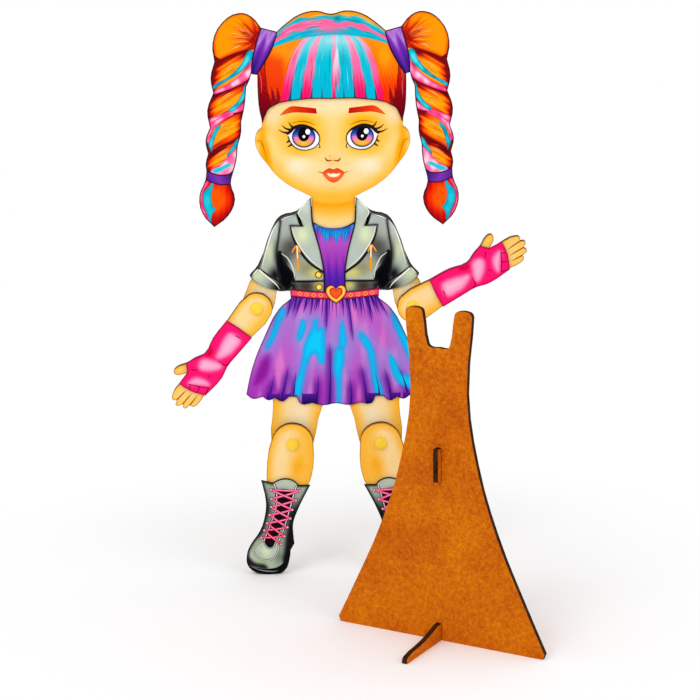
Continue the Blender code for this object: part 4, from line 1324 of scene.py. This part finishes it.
# Folds of the skirt, each down from the belt or up from the hem to its point
BELT_FOLDS = [
    ((-25.7, 171.3), (-29.4, 156.8)), ((-22.6, 171.2), (-26.0, 160.5)), ((-19.9, 171.0), (-24.7, 157.0)),
    ((-16.4, 170.8), (-18.6, 161.0)), ((-13.2, 170.6), (-15.0, 159.4)), ((-9.8, 170.4), (-12.5, 160.6)),
    ((-4.8, 169.8), (-5.7, 148.0)), ((4.2, 169.8), (4.8, 160.0)), ((7.4, 170.0), (10.6, 142.0)),
    ((11.0, 170.2), (12.4, 161.5)), ((14.6, 170.4), (15.6, 158.0)), ((18.8, 170.8), (22.0, 153.5)),
    ((21.4, 171.0), (26.0, 160.0)), ((23.9, 171.2), (32.1, 157.0)),
]
HEM_FOLDS = [
    ((-40.5, 109.0), (-37.0, 124.0)), ((-33.0, 108.0), (-28.0, 130.0)), ((-26.5, 107.0), (-23.8, 126.0)),
    ((-12.0, 105.0), (-10.4, 124.0)), ((-3.9, 104.5), (-3.4, 144.6)), ((9.0, 104.5), (8.4, 122.0)),
    ((18.5, 106.0), (14.6, 131.0)), ((26.4, 107.0), (23.4, 124.0)), ((33.2, 108.0), (28.8, 128.0)),
    ((43.4, 110.0), (37.0, 129.0)),
]
# Where the underside of the hem's pleats shows, from one place across to another
PLEATS = [(-41.0, -34.0), (-32.6, -27.2), (-20.2, -11.6), (18.0, 25.8), (32.8, 38.4), (40.4, 46.0)]
BELT_TOP = [(-26.0, 175.4), (-14.0, 174.1), (1.0, 173.4), (14.0, 174.2), (26.4, 175.6)]
BELT_DROP = 4.1
EYELETS = (-20.6, -16.6, -12.4, -8.2, 9.5, 13.9, 18.2, 22.3)
BUCKLE = [
    (0.8, 175.0, CORNER), (-1.7, 177.3), (-4.5, 176.0), (-4.7, 172.7), (-2.3, 169.3),
    (0.9, 167.1, CORNER), (4.1, 169.7), (6.4, 173.1), (5.8, 176.5), (3.1, 177.3),
]

# Hearts of the buckle, one on another: size, inks of the edge and the middle, and layer
BUCKLE_LAYERS = [
    (1.12, "#6a1408", "#6a1408", 11),
    (1.0, "#ff9a18", "#ffdf6a", 12),
    (0.7, "#c01c10", "#ff5a20", 13),
]


def leather(side, depth, dark, patches):
    """Grey-green leather with soft patches of light and shade, dark along its edge."""

    def paint(spots, rim):
        colour = np.tile(tone("jacket_green"), (len(spots), 1))
        return blend(dark, patched(colour, spots, patches, side), ease(rim / depth + 0.1))

    return paint


JACKET_SIDE_SHADES = [
    ((27, 215), (9, 6), "#a8b4b0", 0.9),
    ((25, 201), (11, 11), "#4a4743", 0.95),
    ((29, 210), (4, 7), "#a9b0a8", 0.7),
    ((16, 188), (10, 8), "#8f8a66", 0.9),
    ((11, 185), (6, 4), "#d8d068", 0.9),
    ((30, 192), (6, 9), "#1c1a1b", 0.95),
]
SLEEVE_SHADES = [
    ((36, 211), (5, 6), "#bccaca", 0.9),
    ((38.5, 199), (4, 8), "#cfd9ae", 0.95),
    ((41, 190), (4, 5), "#b4c0aa", 0.8),
    ((33.5, 196), (3, 11), "#1e1f20", 0.95),
    ((35, 184), (6, 7), "#0c0d12", 1.0),
]
CUFF_SHADES = [
    ((44.5, 184), (6, 4), "#d3dcb0", 0.95),
    ((38, 180), (5, 4), "#a8b2a0", 0.7),
    ((33, 176.5), (8, 6), "#08080c", 1.0),
]
WAISTBAND_SHADES = [
    ((17, 177), (12, 9), "#3c352f", 1.0),
    ((9, 177.5), (4.5, 3.5), "#cfc465", 0.95),
    ((25, 177), (4, 5), "#0f0d0e", 1.0),
]
LAPEL_SHADES = [
    ((16.5, 224), (4, 6), "#cbd6cf", 0.9),
    ((18.5, 208), (6, 8), "#dce8b8", 1.0),
    ((12, 196), (5, 6), "#b9c6c0", 0.9),
]


def dress_paint(spots, rim):
    """Lilac over purple with blue flames and shaded folds, and the jacket's edge above the belt."""
    x, z = spots.T
    colour = blend(tone("dress_purple"), "#9c22ae", 0.7 * ease((134 - z) / 26))
    colour = blend(colour, "#e07acc", 0.85 * ease(1.5 * ripple(x / 4.5, z / 16, 0.4)))
    colour = blend(colour, "#8e189e", cover(spots, HEM_PATCH, 5))
    for flame in FLAMES:
        colour = blend(colour, "#9096e2", 0.85 * cover(spots, flame, 16) ** 0.6)
    for folds, reach, ink in ((BELT_FOLDS, 2.2, "#5a1ca0"), (HEM_FOLDS, 4.2, "#5e1496")):
        for start, end in folds:
            tip = ease(np.abs(z - end[1]) / 9)
            colour = blend(colour, ink, 0.75 * tip * fold_shade(spots, (start, end), reach))
    soft = 3.6 + 2.4 * ripple(x / 6, z / 9, 0.8)
    for flame in FLAMES:
        colour = blend(colour, "#3f84da", 0.9 * cover(spots, flame, 0.8 * soft))
        colour = blend(colour, tone("dress_blue"), cover(spots, flame, soft) ** 1.6)
        colour = blend(colour, "#0fd2ff", 0.8 * cover(spots, flame, 7) ** 3)
    colour = blend("#3c1450", colour, ease(rim / 1.2 + 0.2))
    jacket = blend("#2a2a28", tone("jacket_green"), ease(rim / 3 - 0.1))
    return blend(colour, jacket, ease((z - 174) / 0.8))


def bodice_paint(spots, rim):
    x, z = spots.T
    colour = ramp((z - 173) / 42, BODICE_INKS)
    folds = np.sin(1.4 * x + 0.3 * np.abs(x) * (z - 190) / 12)
    colour = blend(colour, "#3a1590", 0.4 * ease(folds) * ease((200 - z) / 14))
    return blend("#2c1258", colour, ease(rim / 1.4))


def draw_jacket(art, side):
    def at(points):
        return mirrored(points, side)

    art.shape(at(JACKET_SIDE), leather(side, 1.6, "#2a2a29", JACKET_SIDE_SHADES), 4, 0.9)
    art.shape(at(UNDERARM), shaded("#1c1c20", "#020308", 2.0), 5)
    art.shape(at(SLEEVE), leather(side, 1.8, "#3a3c39", SLEEVE_SHADES), 6, 0.9)
    art.shape(at(CUFF), leather(side, 1.4, "#2c2d2b", CUFF_SHADES), 7, 0.9)
    art.shape(at(WAISTBAND), leather(side, 1.0, "#1c1b1b", WAISTBAND_SHADES), 6, 0.9)
    art.shape(at(LAPEL), leather(side, 1.2, "#6c746e", LAPEL_SHADES), 7, 0.9)
    art.shape(at(LAPEL_NOTCH), plain("#070607"), 8)
    for points, widths, ink, level in JACKET_STROKES:
        art.line(at(points), widths, ink, level)


def draw_dress(art):
    deep = "#3a1488"
    art.shape(BODICE, bodice_paint, 2, 0.9)
    art.shape(GATHERS, shaded("#3a78d8", tone("dress_blue"), 1.4), 3, 0.8)
    art.line(NECKLINE, 0.6, OUTLINE, 4)
    for folds, wide in ((BELT_FOLDS, 1.2), (HEM_FOLDS, 1.7)):
        for start, end in folds:
            bend = ((start[0] + end[0]) / 2 + 0.5, (start[1] + end[1]) / 2)
            art.line([start, bend, end], (wide, 0.6, 0.05), deep, 3)
    pick = np.random.default_rng(15)
    for x in np.arange(-24, 25, 1.9):
        drop = pick.uniform(5, 14)
        gather = [(x, 171), (1.07 * x, 171 - 0.5 * drop), (1.16 * x, 171 - drop)]
        art.line(gather, (0.9, 0.5, 0.05), deep, 3)
        neck = 0.42 * x
        gather = [(neck, 213), (0.95 * neck, 213 - 0.3 * drop), (0.9 * neck, 213 - 0.7 * drop)]
        art.line(gather, (0.6, 0.4, 0.05), "#2a3fae", 4)
    for start, end in PLEATS:
        under = [(start, 111.6, CORNER), (end, 111.6, CORNER), (end, 100, CORNER), (start, 100, CORNER)]
        art.shape(under, graded((0, 112), (0, 106), [(0, "#5a1a9c"), (1, "#1f0a58")]), 4)
        for x in (start, end):
            art.line([(x, 104), (x, 112.6)], (0.7, 0.2), "#1c0a40", 5)
    belt = BELT_TOP + [(x, z - BELT_DROP) for x, z in BELT_TOP[::-1]]
    belt = [(*p, CORNER) if i in (0, 4, 5, 9) else p for i, p in enumerate(belt)]
    art.shape(belt, shaded("#c8123c", "#fb4a78", 1.4), 10, 0.8)
    for edge in (belt[:5], belt[5:]):
        art.line([p[:2] for p in edge], 0.5, "#5a0a28", 11)
    for x in EYELETS:
        height = 171.4 + 0.003 * x * x
        art.shape(ring((x, height), 1.25, 1.25, 12), plain("#ff9a30"), 11, 0.9)
        art.shape(ring((x, height), 0.6, 0.6, 10), plain("#e03a50"), 12, 0.9)
    middle = np.array([p[:2] for p in BUCKLE]).mean(0)
    for size, edge, inner, level in BUCKLE_LAYERS:
        heart = [(*(middle + size * (np.array(p[:2]) - middle)), *p[2:]) for p in BUCKLE]
        art.shape(heart, shaded(edge, inner, 1.2), level, 0.7)


class PrintOutfit(bpy.types.Operator):
    """Prints the dress with its belt, and the short jacket over it"""

    bl_idname = "doll.print_outfit"
    bl_label = "Outfit"

    def execute(self, context):
        art = Artwork("outfit", main_plane())
        art.ground(dress_paint, 0.8)
        draw_dress(art)
        for side in (-1, 1):
            draw_jacket(art, side)
        for button in BUTTONS:
            art.shape(ring(button, 2.1, 2.1), plain(OUTLINE), 10)
            art.shape(ring(button, 1.7, 1.7), shaded("#f0a818", "#ffe884", 1.1), 11, 0.7)
        art.hem(0.5, OUTLINE, 9)
        rubber = moulded_finish("magnet rubber of the outfit", "#2e2a2c", 0.6)
        art.make(printed_finish("printed outfit magnet"), "printed_outfit", rubber)
        return {"FINISHED"}


# Artwork of the gloves: along the forearm from the elbow, with the thumb at +Y

GLOVE_LIGHTS = [
    [
        (22.0, 4.1), (29.8, 3.6), (32.8, 2.7), (35.6, 2.0), (38.1, 1.0), (37.1, -1.6), (31.4, -4.6),
        (27.5, -5.0), (21.1, -4.5), (20.0, 0.7),
    ],
    [
        (43.5, 6.4), (47.7, 6.7), (49.8, 4.1), (48.7, 0.7), (45.0, -3.5), (40.7, -5.5), (39.5, -2.9),
        (40.8, 1.7),
    ],
    [(55.4, 3.1), (61.1, 4.3), (59.5, 0.7), (56.4, -3.8), (54.0, -6.5), (52.9, -4.5), (53.5, -0.3)],
]
WRIST_SHADE = [(34.5, 7.1), (38.0, 6.9), (41.0, 6.1), (39.0, 4.1), (35.9, 5.0)]
GLOVE_LINES = [
    ([(39.4, -1.1), (38.8, -3.5), (38.5, -6.2), (35.7, -7.1), (32.4, -7.4)], (0.2, 0.9, 0.3)),
    ([(53.0, 8.1), (52.1, 6.2), (50.5, 4.6)], (0.9, 0.2)),
    ([(61.3, 4.2), (58.3, -2.2), (55.2, -7.6)], (0.5, 0.8, 0.5)),
    ([(60.8, 2.6), (63.2, 1.7)], (0.7, 0.4)),
    ([(58.2, -2.2), (61.7, -3.3)], (0.7, 0.4)),
    ([(55.6, -6.9), (60.2, -7.8)], (0.7, 0.4)),
    ([(20.3, -0.1), (19.9, -4.2)], (0.8, 0.3)),
    ([(49.4, -2.0), (50.7, -4.1)], (0.7, 0.2)),
]


def glove_paint(spots, rim):
    colour = blend("#d8044e", tone("glove_pink"), ease(rim / 1.8 + 0.1))
    for light in GLOVE_LIGHTS:
        colour = blend(colour, "#ff9cc6", 0.9 * cover(spots, light, 3.6))
        colour = blend(colour, "#ffd4e4", 0.6 * cover(spots, light, 9) ** 3)
    return blend(colour, "#d8003c", cover(spots, WRIST_SHADE, 2.0))


class PrintGloves(bpy.types.Operator):
    """Prints the two fingerless gloves"""

    bl_idname = "doll.print_gloves"
    bl_label = "Gloves"

    def execute(self, context):
        finish = printed_finish("printed glove magnet")
        rubber = moulded_finish("magnet rubber of the gloves", "#3a262c", 0.6)
        for side in SIDES:
            art = Artwork(f"{side}_glove", limb_plane(side, "elbow"))
            art.ground(glove_paint, 0.8)
            for points, widths in GLOVE_LINES:
                art.line(points, widths, "#a8003c", 3)
            art.hem(0.45, "#b8044a", 5)
            art.make(finish, "printed_glove", rubber)
        return {"FINISHED"}


# Artwork of the boots: across from the knee with the toe at +X, and down from the knee

TONGUE = [
    (7.7, -24.8, CORNER), (4.8, -22.6), (0.4, -21.3), (-4.3, -21.4), (-7.6, -23.6, CORNER),
    (-6.3, -26.9), (-4.9, -29.3), (3.4, -29.9), (6.3, -26.9),
]
OPENING = [
    (4.6, -29.8), (-4.9, -29.3), (-4.8, -36.5), (-3.8, -46.0), (-1.9, -53.4), (0.1, -60.8), (1.3, -65.3),
    (4.0, -65.8), (6.7, -62.5), (6.3, -57.3), (4.3, -50.3), (3.5, -40.9),
]
FLAP_EDGES = [
    [(7.0, -25.8), (4.7, -30.3), (3.3, -40.8), (4.5, -49.4), (6.1, -57.2), (6.9, -62.0)],
    [(-6.6, -25.0), (-5.9, -29.8), (-5.1, -39.3), (-3.8, -50.7), (-2.3, -59.4), (-0.5, -64.0)],
]
TOE_CAP = [
    (7.7, -62.2), (10.8, -65.6), (12.3, -69.1), (10.5, -72.5), (6.4, -74.3), (1.8, -73.9), (-1.3, -70.8),
    (-2.5, -65.9), (-2.3, -63.1), (-0.1, -64.2), (1.7, -66.0), (4.4, -66.2), (6.7, -63.4),
]
SOLE = [
    (15.4, -75.8), (13.7, -79.4), (8.2, -80.1), (2.2, -79.6), (-3.9, -77.3), (-7.3, -73.0),
    (-8.2, -66.3), (-9.6, -65.1, CORNER), (-10.2, -70.6), (-9.4, -76.3), (-6.0, -80.7), (-0.8, -83.0),
    (5.7, -83.3), (12.2, -81.2),
]
SOLE_GLEAM = [(12.4, -79.8), (6.1, -81.1), (-1.3, -80.7), (-4.6, -79.5)]
HEEL_SHADE = [
    (-7.1, -49.2), (-9.9, -54.2), (-11.6, -60.5), (-9.7, -65.5), (-9.5, -72.1), (-6.6, -74.0),
    (-6.2, -66.6), (-6.7, -59.5), (-6.6, -53.9),
]
TOE_SHADE = [
    (15.5, -73.0), (14.2, -78.8), (8.2, -80.0), (2.2, -79.6), (4.0, -77.4), (10.1, -77.1), (13.9, -74.5),
]
OUTER_EYELETS = [
    (8.2, -29.6), (6.9, -35.3), (6.3, -40.4), (6.4, -45.5), (7.0, -50.9), (8.0, -55.7), (9.0, -60.6),
]
INNER_EYELETS = [
    (-9.3, -27.4), (-7.8, -33.8), (-6.6, -40.0), (-6.3, -45.6), (-5.6, -51.4), (-4.7, -57.3),
    (-3.6, -62.7),
]

# Soft lights and shades of the leather
BOOT_SHADES = [
    ((9, -29), (6, 8), "#9fae9c", 0.9),
    ((-9, -30), (4, 9), "#a9b8a2", 0.9),
    ((10, -43), (7, 12), "#141e1e", 1.0),
    ((-8, -44), (7, 14), "#0c1414", 1.0),
    ((11, -55), (6, 9), "#1a2226", 0.95),
    ((-9, -58), (6, 13), "#0c0f12", 1.0),
    ((12, -68), (5, 8), "#b4c39a", 0.85),
    ((6, -76.5), (9, 4), "#aab98e", 0.9),
    ((-4, -71), (5, 8), "#6c7868", 0.8),
]
TONGUE_SHADES = [((0, -24), (6, 3), "#bccbb0", 0.9), ((0, -29), (6, 2.5), "#7a867c", 0.9)]
TOE_CAP_SHADES = [((5, -69), (6, 5), "#d6e6be", 1.0), ((9, -71), (4, 3), "#a9b89e", 0.7)]


def boot_paint(spots, rim):
    colour = leather(1, 2.8, "#0f1315", BOOT_SHADES)(spots, rim)
    for shade in (HEEL_SHADE, TOE_SHADE):
        colour = blend(colour, "#0e0f12", 0.95 * cover(spots, shade, 3.0))
    return colour


def draw_laces(art):
    """Laces crossed from eyelet to eyelet, with a bar over the top."""
    edge = "#8a1440"
    rows = list(zip(OUTER_EYELETS, INNER_EYELETS, strict=True))
    crossings = [(rows[0][0], rows[0][1], 6)]
    for (outer, inner), (outer_next, inner_next) in zip(rows[:-1], rows[1:], strict=True):
        crossings += [(inner, outer_next, 6), (outer, inner_next, 8)]
    for start, end, level in crossings:
        ends = np.array((start, end))
        middle = ends.mean(0) - (0, 0.3)
        points = [tuple(start), tuple(middle), tuple(end)]
        lace = blend(tone("lace_pink"), "#f2104e", 0.8 * ease((-44 - middle[1]) / 18))
        art.line(points, 1.5, edge, level)
        art.line(points, 1.05, lace, level + 0.5)
        art.line(points, (0.1, 0.4, 0.1), "#ffa8c4", level + 1)
    for eyelet in OUTER_EYELETS + INNER_EYELETS:
        art.shape(ring(eyelet, 0.95, 0.95, 12), plain("#6a2036"), 10)
        art.shape(ring(eyelet, 0.65, 0.65, 12), plain("#ffb4c0"), 11)


class PrintBoots(bpy.types.Operator):
    """Prints the two lace-up boots"""

    bl_idname = "doll.print_boots"
    bl_label = "Boots"

    def execute(self, context):
        finish = printed_finish("printed boot magnet")
        rubber = moulded_finish("magnet rubber of the boots", "#2c2c2a", 0.6)
        gleam = "#eef2dc"
        for side in SIDES:
            art = Artwork(f"{side}_boot", limb_plane(side, "knee"))
            art.ground(boot_paint, 0.8)
            art.shape(TONGUE, leather(1, 0.9, "#2c302e", TONGUE_SHADES), 2, 0.8)
            art.shape(OPENING, plain("#14060c"), 3, 1.2)
            for edge in FLAP_EDGES:
                art.line(edge, 1.5, OUTLINE, 4)
                art.line(edge, (0.6, 0.4, 0.5), gleam, 5)
            art.shape(TOE_CAP, leather(1, 1.0, "#6f7a6c", TOE_CAP_SHADES), 4, 0.8)
            art.line(TOE_CAP[:9], 1.0, OUTLINE, 5)
            art.line(TOE_CAP[:9], 0.4, gleam, 6)
            art.shape(SOLE, plain("#0c0b0d"), 5, 1.2)
            art.line(SOLE_GLEAM, (0.1, 0.7, 0.1), "#8d938a", 6)
            draw_laces(art)
            art.hem(0.55, OUTLINE, 8)
            art.make(finish, "printed_boot", rubber)
        return {"FINISHED"}


# Board, plastic and stand


class FinishBoards(bpy.types.Operator):
    """Gives the fibreboard of the doll, its limbs and the keeper on its back their finish"""

    bl_idname = "doll.finish_boards"
    bl_label = "Boards"

    def execute(self, context):
        tones = ("#8a5a30", "#a8753f", "#bf8c52")
        board = board_finish("hard fibreboard", tones, ("#1c110b", "#3e2515"), (0, 1, 0))
        for name, node in frame["nodes"].items():
            if name.endswith("_board") or name.startswith("keeper"):
                dress_node(name, board)
        return {"FINISHED"}


class FinishRivets(bpy.types.Operator):
    """Gives the snap rivets of the elbows and knees their yellow plastic"""

    bl_idname = "doll.finish_rivets"
    bl_label = "Rivets"

    def execute(self, context):
        plastic = moulded_finish("yellow rivet plastic", tone("rivet_yellow"), 0.3, 0.03, 160)
        for name, node in frame["nodes"].items():
            if "rivet" in name:
                dress_node(name, plastic)
        return {"FINISHED"}


# Shares of the stain's red, green and blue in the dark, middle and light flecks of the stand
STAIN_SHARES = ((0.76, 0.54, 0.6), (0.98, 0.92, 1), (1.1, 1.28, 1))


class FinishStand(bpy.types.Operator):
    """Gives the two boards of the stand their stained, speckled finish"""

    bl_idname = "doll.finish_stand"
    bl_label = "Stand"

    def execute(self, context):
        stain = tone("stand_brown")
        tones = [np.clip(stain * np.array(shares), 0, 1) for shares in STAIN_SHARES]
        for name, node in frame["nodes"].items():
            if name.startswith("stand"):
                turn = math.radians(STAND_TURN + (90 if "brace" in name else 0))
                facing = (-math.sin(turn), math.cos(turn), 0)
                title = name.replace("_", " ") + " board"
                dress_node(name, board_finish(title, tones, ("#1a0f08", "#4a2a12"), facing))
        return {"FINISHED"}


# Studio: places in metres, sensor in millimetres

CAMERA_TARGET = (0.0010, 0.0726, 0.1377)
SENSOR_WIDTH = 36
LAMP_TARGET = (0, 0.05, 0.15)
LAMP_SIZE = 0.7
KEY_PLACE = (-0.55, -0.75, 1.0)
FILL_PLACE = (0.7, -0.6, 0.8)
FLOOR_CENTRE = (0, 0.02, 0)
FLOOR_SIZE = 12
SHADOW_NEAR = 0.1
SHADOW_FAR = 0.3
WHITE = (1, 1, 1, 1)


def soft_lamp(name, place, power):
    lamp = bpy.data.lights.new(name, "AREA")
    lamp.shape = "DISK"
    lamp.size = LAMP_SIZE
    lamp.energy = power
    made = bpy.data.objects.new(name, lamp)
    made.location = place
    made.rotation_euler = (Vector(LAMP_TARGET) - Vector(place)).to_track_quat("-Z", "Y").to_euler()
    bpy.context.scene.collection.objects.link(made)
    return made


def even_sky(strength):
    """A white sky that lights evenly, and that the camera sees as plain white."""
    world = bpy.data.worlds.new("white studio")
    bpy.context.scene.world = world
    world.use_nodes = True
    sky = Nodes(world.node_tree)
    sky.tree.nodes.remove(sky.tree.nodes["Background"])
    lighting = sky.add("ShaderNodeBackground", {}, {"Color": WHITE, "Strength": strength})
    plain_white = sky.add("ShaderNodeBackground", {}, {"Color": WHITE, "Strength": 1.0})
    seen = sky.add("ShaderNodeLightPath", {}, {}, "Is Camera Ray")
    both = sky.add("ShaderNodeMixShader", {}, {0: seen, 1: lighting, 2: plain_white})
    sky.show(both, "World Output")


def white_floor():
    """A matt floor that takes the shadow near the doll and turns to plain white further out."""
    finish = Finish("studio floor", 0.0)
    ends = {0: finish.place(), 1: (0, 0, 0)}
    reach = finish.add("ShaderNodeVectorMath", {"operation": "DISTANCE"}, ends, "Value")
    span = {"Value": reach, "From Min": SHADOW_NEAR, "From Max": SHADOW_FAR}
    fade = finish.add("ShaderNodeMapRange", {"interpolation_type": "SMOOTHSTEP"}, span)
    seen = finish.add("ShaderNodeLightPath", {}, {}, "Is Camera Ray")
    plain_white = finish.add("ShaderNodeEmission", {}, {"Color": WHITE, "Strength": 1.0})
    finish.wear(Base_Color=(0.97, 0.97, 0.97, 1), Roughness=0.9)
    matt = Wire(finish, finish.surface.outputs[0])
    both = finish.add("ShaderNodeMixShader", {}, {0: fade * seen, 1: matt, 2: plain_white})
    finish.show(both, "Material Output")
    bpy.ops.mesh.primitive_plane_add(size=FLOOR_SIZE, location=FLOOR_CENTRE)
    floor = bpy.context.object
    floor.name = "studio_floor"
    floor.data.materials.append(finish.material)
    return floor


def studio_camera(studio):
    """A camera in front of the doll, raised and rolled as chosen, that looks at it."""
    lens = bpy.data.cameras.new("camera")
    lens.lens = studio.lens
    lens.sensor_width = SENSOR_WIDTH
    camera = bpy.data.objects.new("camera", lens)
    bpy.context.scene.collection.objects.link(camera)
    back = Vector((0, -math.cos(studio.rise), math.sin(studio.rise)))
    up = Vector((0, math.sin(studio.rise), math.cos(studio.rise)))
    right = Vector((1, 0, 0))
    rolled_right = math.cos(studio.roll) * right + math.sin(studio.roll) * up
    rolled_up = math.cos(studio.roll) * up - math.sin(studio.roll) * right
    turn = Matrix((rolled_right, rolled_up, back)).transposed().to_4x4()
    camera.matrix_world = Matrix.Translation(Vector(CAMERA_TARGET) + studio.distance * back) @ turn
    bpy.context.scene.camera = camera
    return camera


class SetStage(bpy.types.Operator):
    """Sets up the camera, the soft light and the white floor"""

    bl_idname = "doll.set_stage"
    bl_label = "Studio"

    def execute(self, context):
        studio = context.scene.doll_studio
        even_sky(studio.sky_strength)
        key = soft_lamp("key lamp", KEY_PLACE, studio.key_power)
        fill = soft_lamp("fill lamp", FILL_PLACE, studio.fill_power)
        for item in (studio_camera(studio), white_floor(), key, fill):
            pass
        context.scene.view_settings.view_transform = "Standard"
        return {"FINISHED"}


# Properties, panel and run


def colour_choice(name, description, code):
    usual = tuple(hue(code))
    return FloatVectorProperty(
        name=name, description=description, default=usual, subtype="COLOR_GAMMA", min=0, max=1
    )


class DollLook(bpy.types.PropertyGroup):
    """Colours of the doll and its clothes"""

    skin_light: colour_choice("Skin", "Skin in the middle of the face and limbs", "#ffdb98")
    skin_edge: colour_choice("Skin edge", "Skin along the edges of the limbs", "#ffb42a")
    hair_orange: colour_choice("Hair", "Main colour of the hair", HAIR_ORANGE)
    streak_blue: colour_choice("Blue streaks", "Blue streaks in the hair", STREAK_BLUE)
    streak_pink: colour_choice("Pink streaks", "Pink streaks in the hair", STREAK_PINK)
    tie_purple: colour_choice("Hair ties", "Bands round the pigtails", "#7c2cb0")
    jacket_green: colour_choice("Jacket and boots", "Leather of the jacket and boots", "#b5c1b2")
    dress_purple: colour_choice("Dress", "Main colour of the dress", "#bd5fca")
    dress_blue: colour_choice("Dress flames", "Flames on the dress", "#00b2f2")
    glove_pink: colour_choice("Gloves", "Main colour of the gloves", "#ff1470")
    lace_pink: colour_choice("Laces", "Laces of the boots", "#ff5a98")
    rivet_yellow: colour_choice("Rivets", "Plastic of the rivets", "#fbd136")
    stand_brown: colour_choice("Stand", "Stain of the stand", "#cc6a06")


class DollStudio(bpy.types.PropertyGroup):
    """Camera and light of the studio"""

    lens: FloatProperty(
        name="Lens", description="Focal length of the camera", default=103.4, min=10, unit="CAMERA"
    )
    distance: FloatProperty(
        name="Distance", description="From the camera to the doll", default=1.2, min=0.1, unit="LENGTH"
    )
    rise: FloatProperty(
        name="Rise", description="How far the camera looks down", default=math.radians(13.0), subtype="ANGLE"
    )
    roll: FloatProperty(
        name="Roll", description="How far the camera is rolled", default=math.radians(-0.67), subtype="ANGLE"
    )
    key_power: FloatProperty(
        name="Key lamp", description="Power of the lamp on the left", default=3.4, min=0, unit="POWER"
    )
    fill_power: FloatProperty(
        name="Fill lamp", description="Power of the lamp on the right", default=1.8, min=0, unit="POWER"
    )
    sky_strength: FloatProperty(
        name="Sky", description="Strength of the white sky's light", default=0.84, min=0
    )


def tone(name):
    """A colour chosen in the panel, as three sRGB numbers."""
    return np.array(getattr(bpy.context.scene.doll_look, name))


OPERATORS = (
    FinishBoards,
    FinishRivets,
    PrintSkin,
    PrintHair,
    PrintOutfit,
    PrintGloves,
    PrintBoots,
    FinishStand,
    SetStage,
)


class DollPanel(bpy.types.Panel):
    """Steps that dress the doll, its colours and its studio"""

    bl_idname = "DOLL_PT_look"
    bl_label = "Magnetic doll"
    bl_space_type = "VIEW_3D"
    bl_region_type = "UI"
    bl_category = "Doll"

    def draw(self, context):
        for step in OPERATORS:
            self.layout.operator(step.bl_idname)
        for group in (context.scene.doll_look, context.scene.doll_studio):
            for name in type(group).__annotations__:
                self.layout.prop(group, name)


CLASSES = (DollLook, DollStudio, *OPERATORS, DollPanel)


def register():
    for made in CLASSES:
        bpy.utils.register_class(made)
    bpy.types.Scene.doll_look = PointerProperty(type=DollLook)
    bpy.types.Scene.doll_studio = PointerProperty(type=DollStudio)


def unregister():
    del bpy.types.Scene.doll_studio
    del bpy.types.Scene.doll_look
    for made in reversed(CLASSES):
        bpy.utils.unregister_class(made)


def main():
    register()
    bpy.ops.doll.finish_boards()
    bpy.ops.doll.finish_rivets()
    bpy.ops.doll.print_skin()
    bpy.ops.doll.print_hair()
    bpy.ops.doll.print_outfit()
    bpy.ops.doll.print_gloves()
    bpy.ops.doll.print_boots()
    bpy.ops.doll.finish_stand()
    bpy.ops.doll.set_stage()


if __name__ == "__main__":
    main()
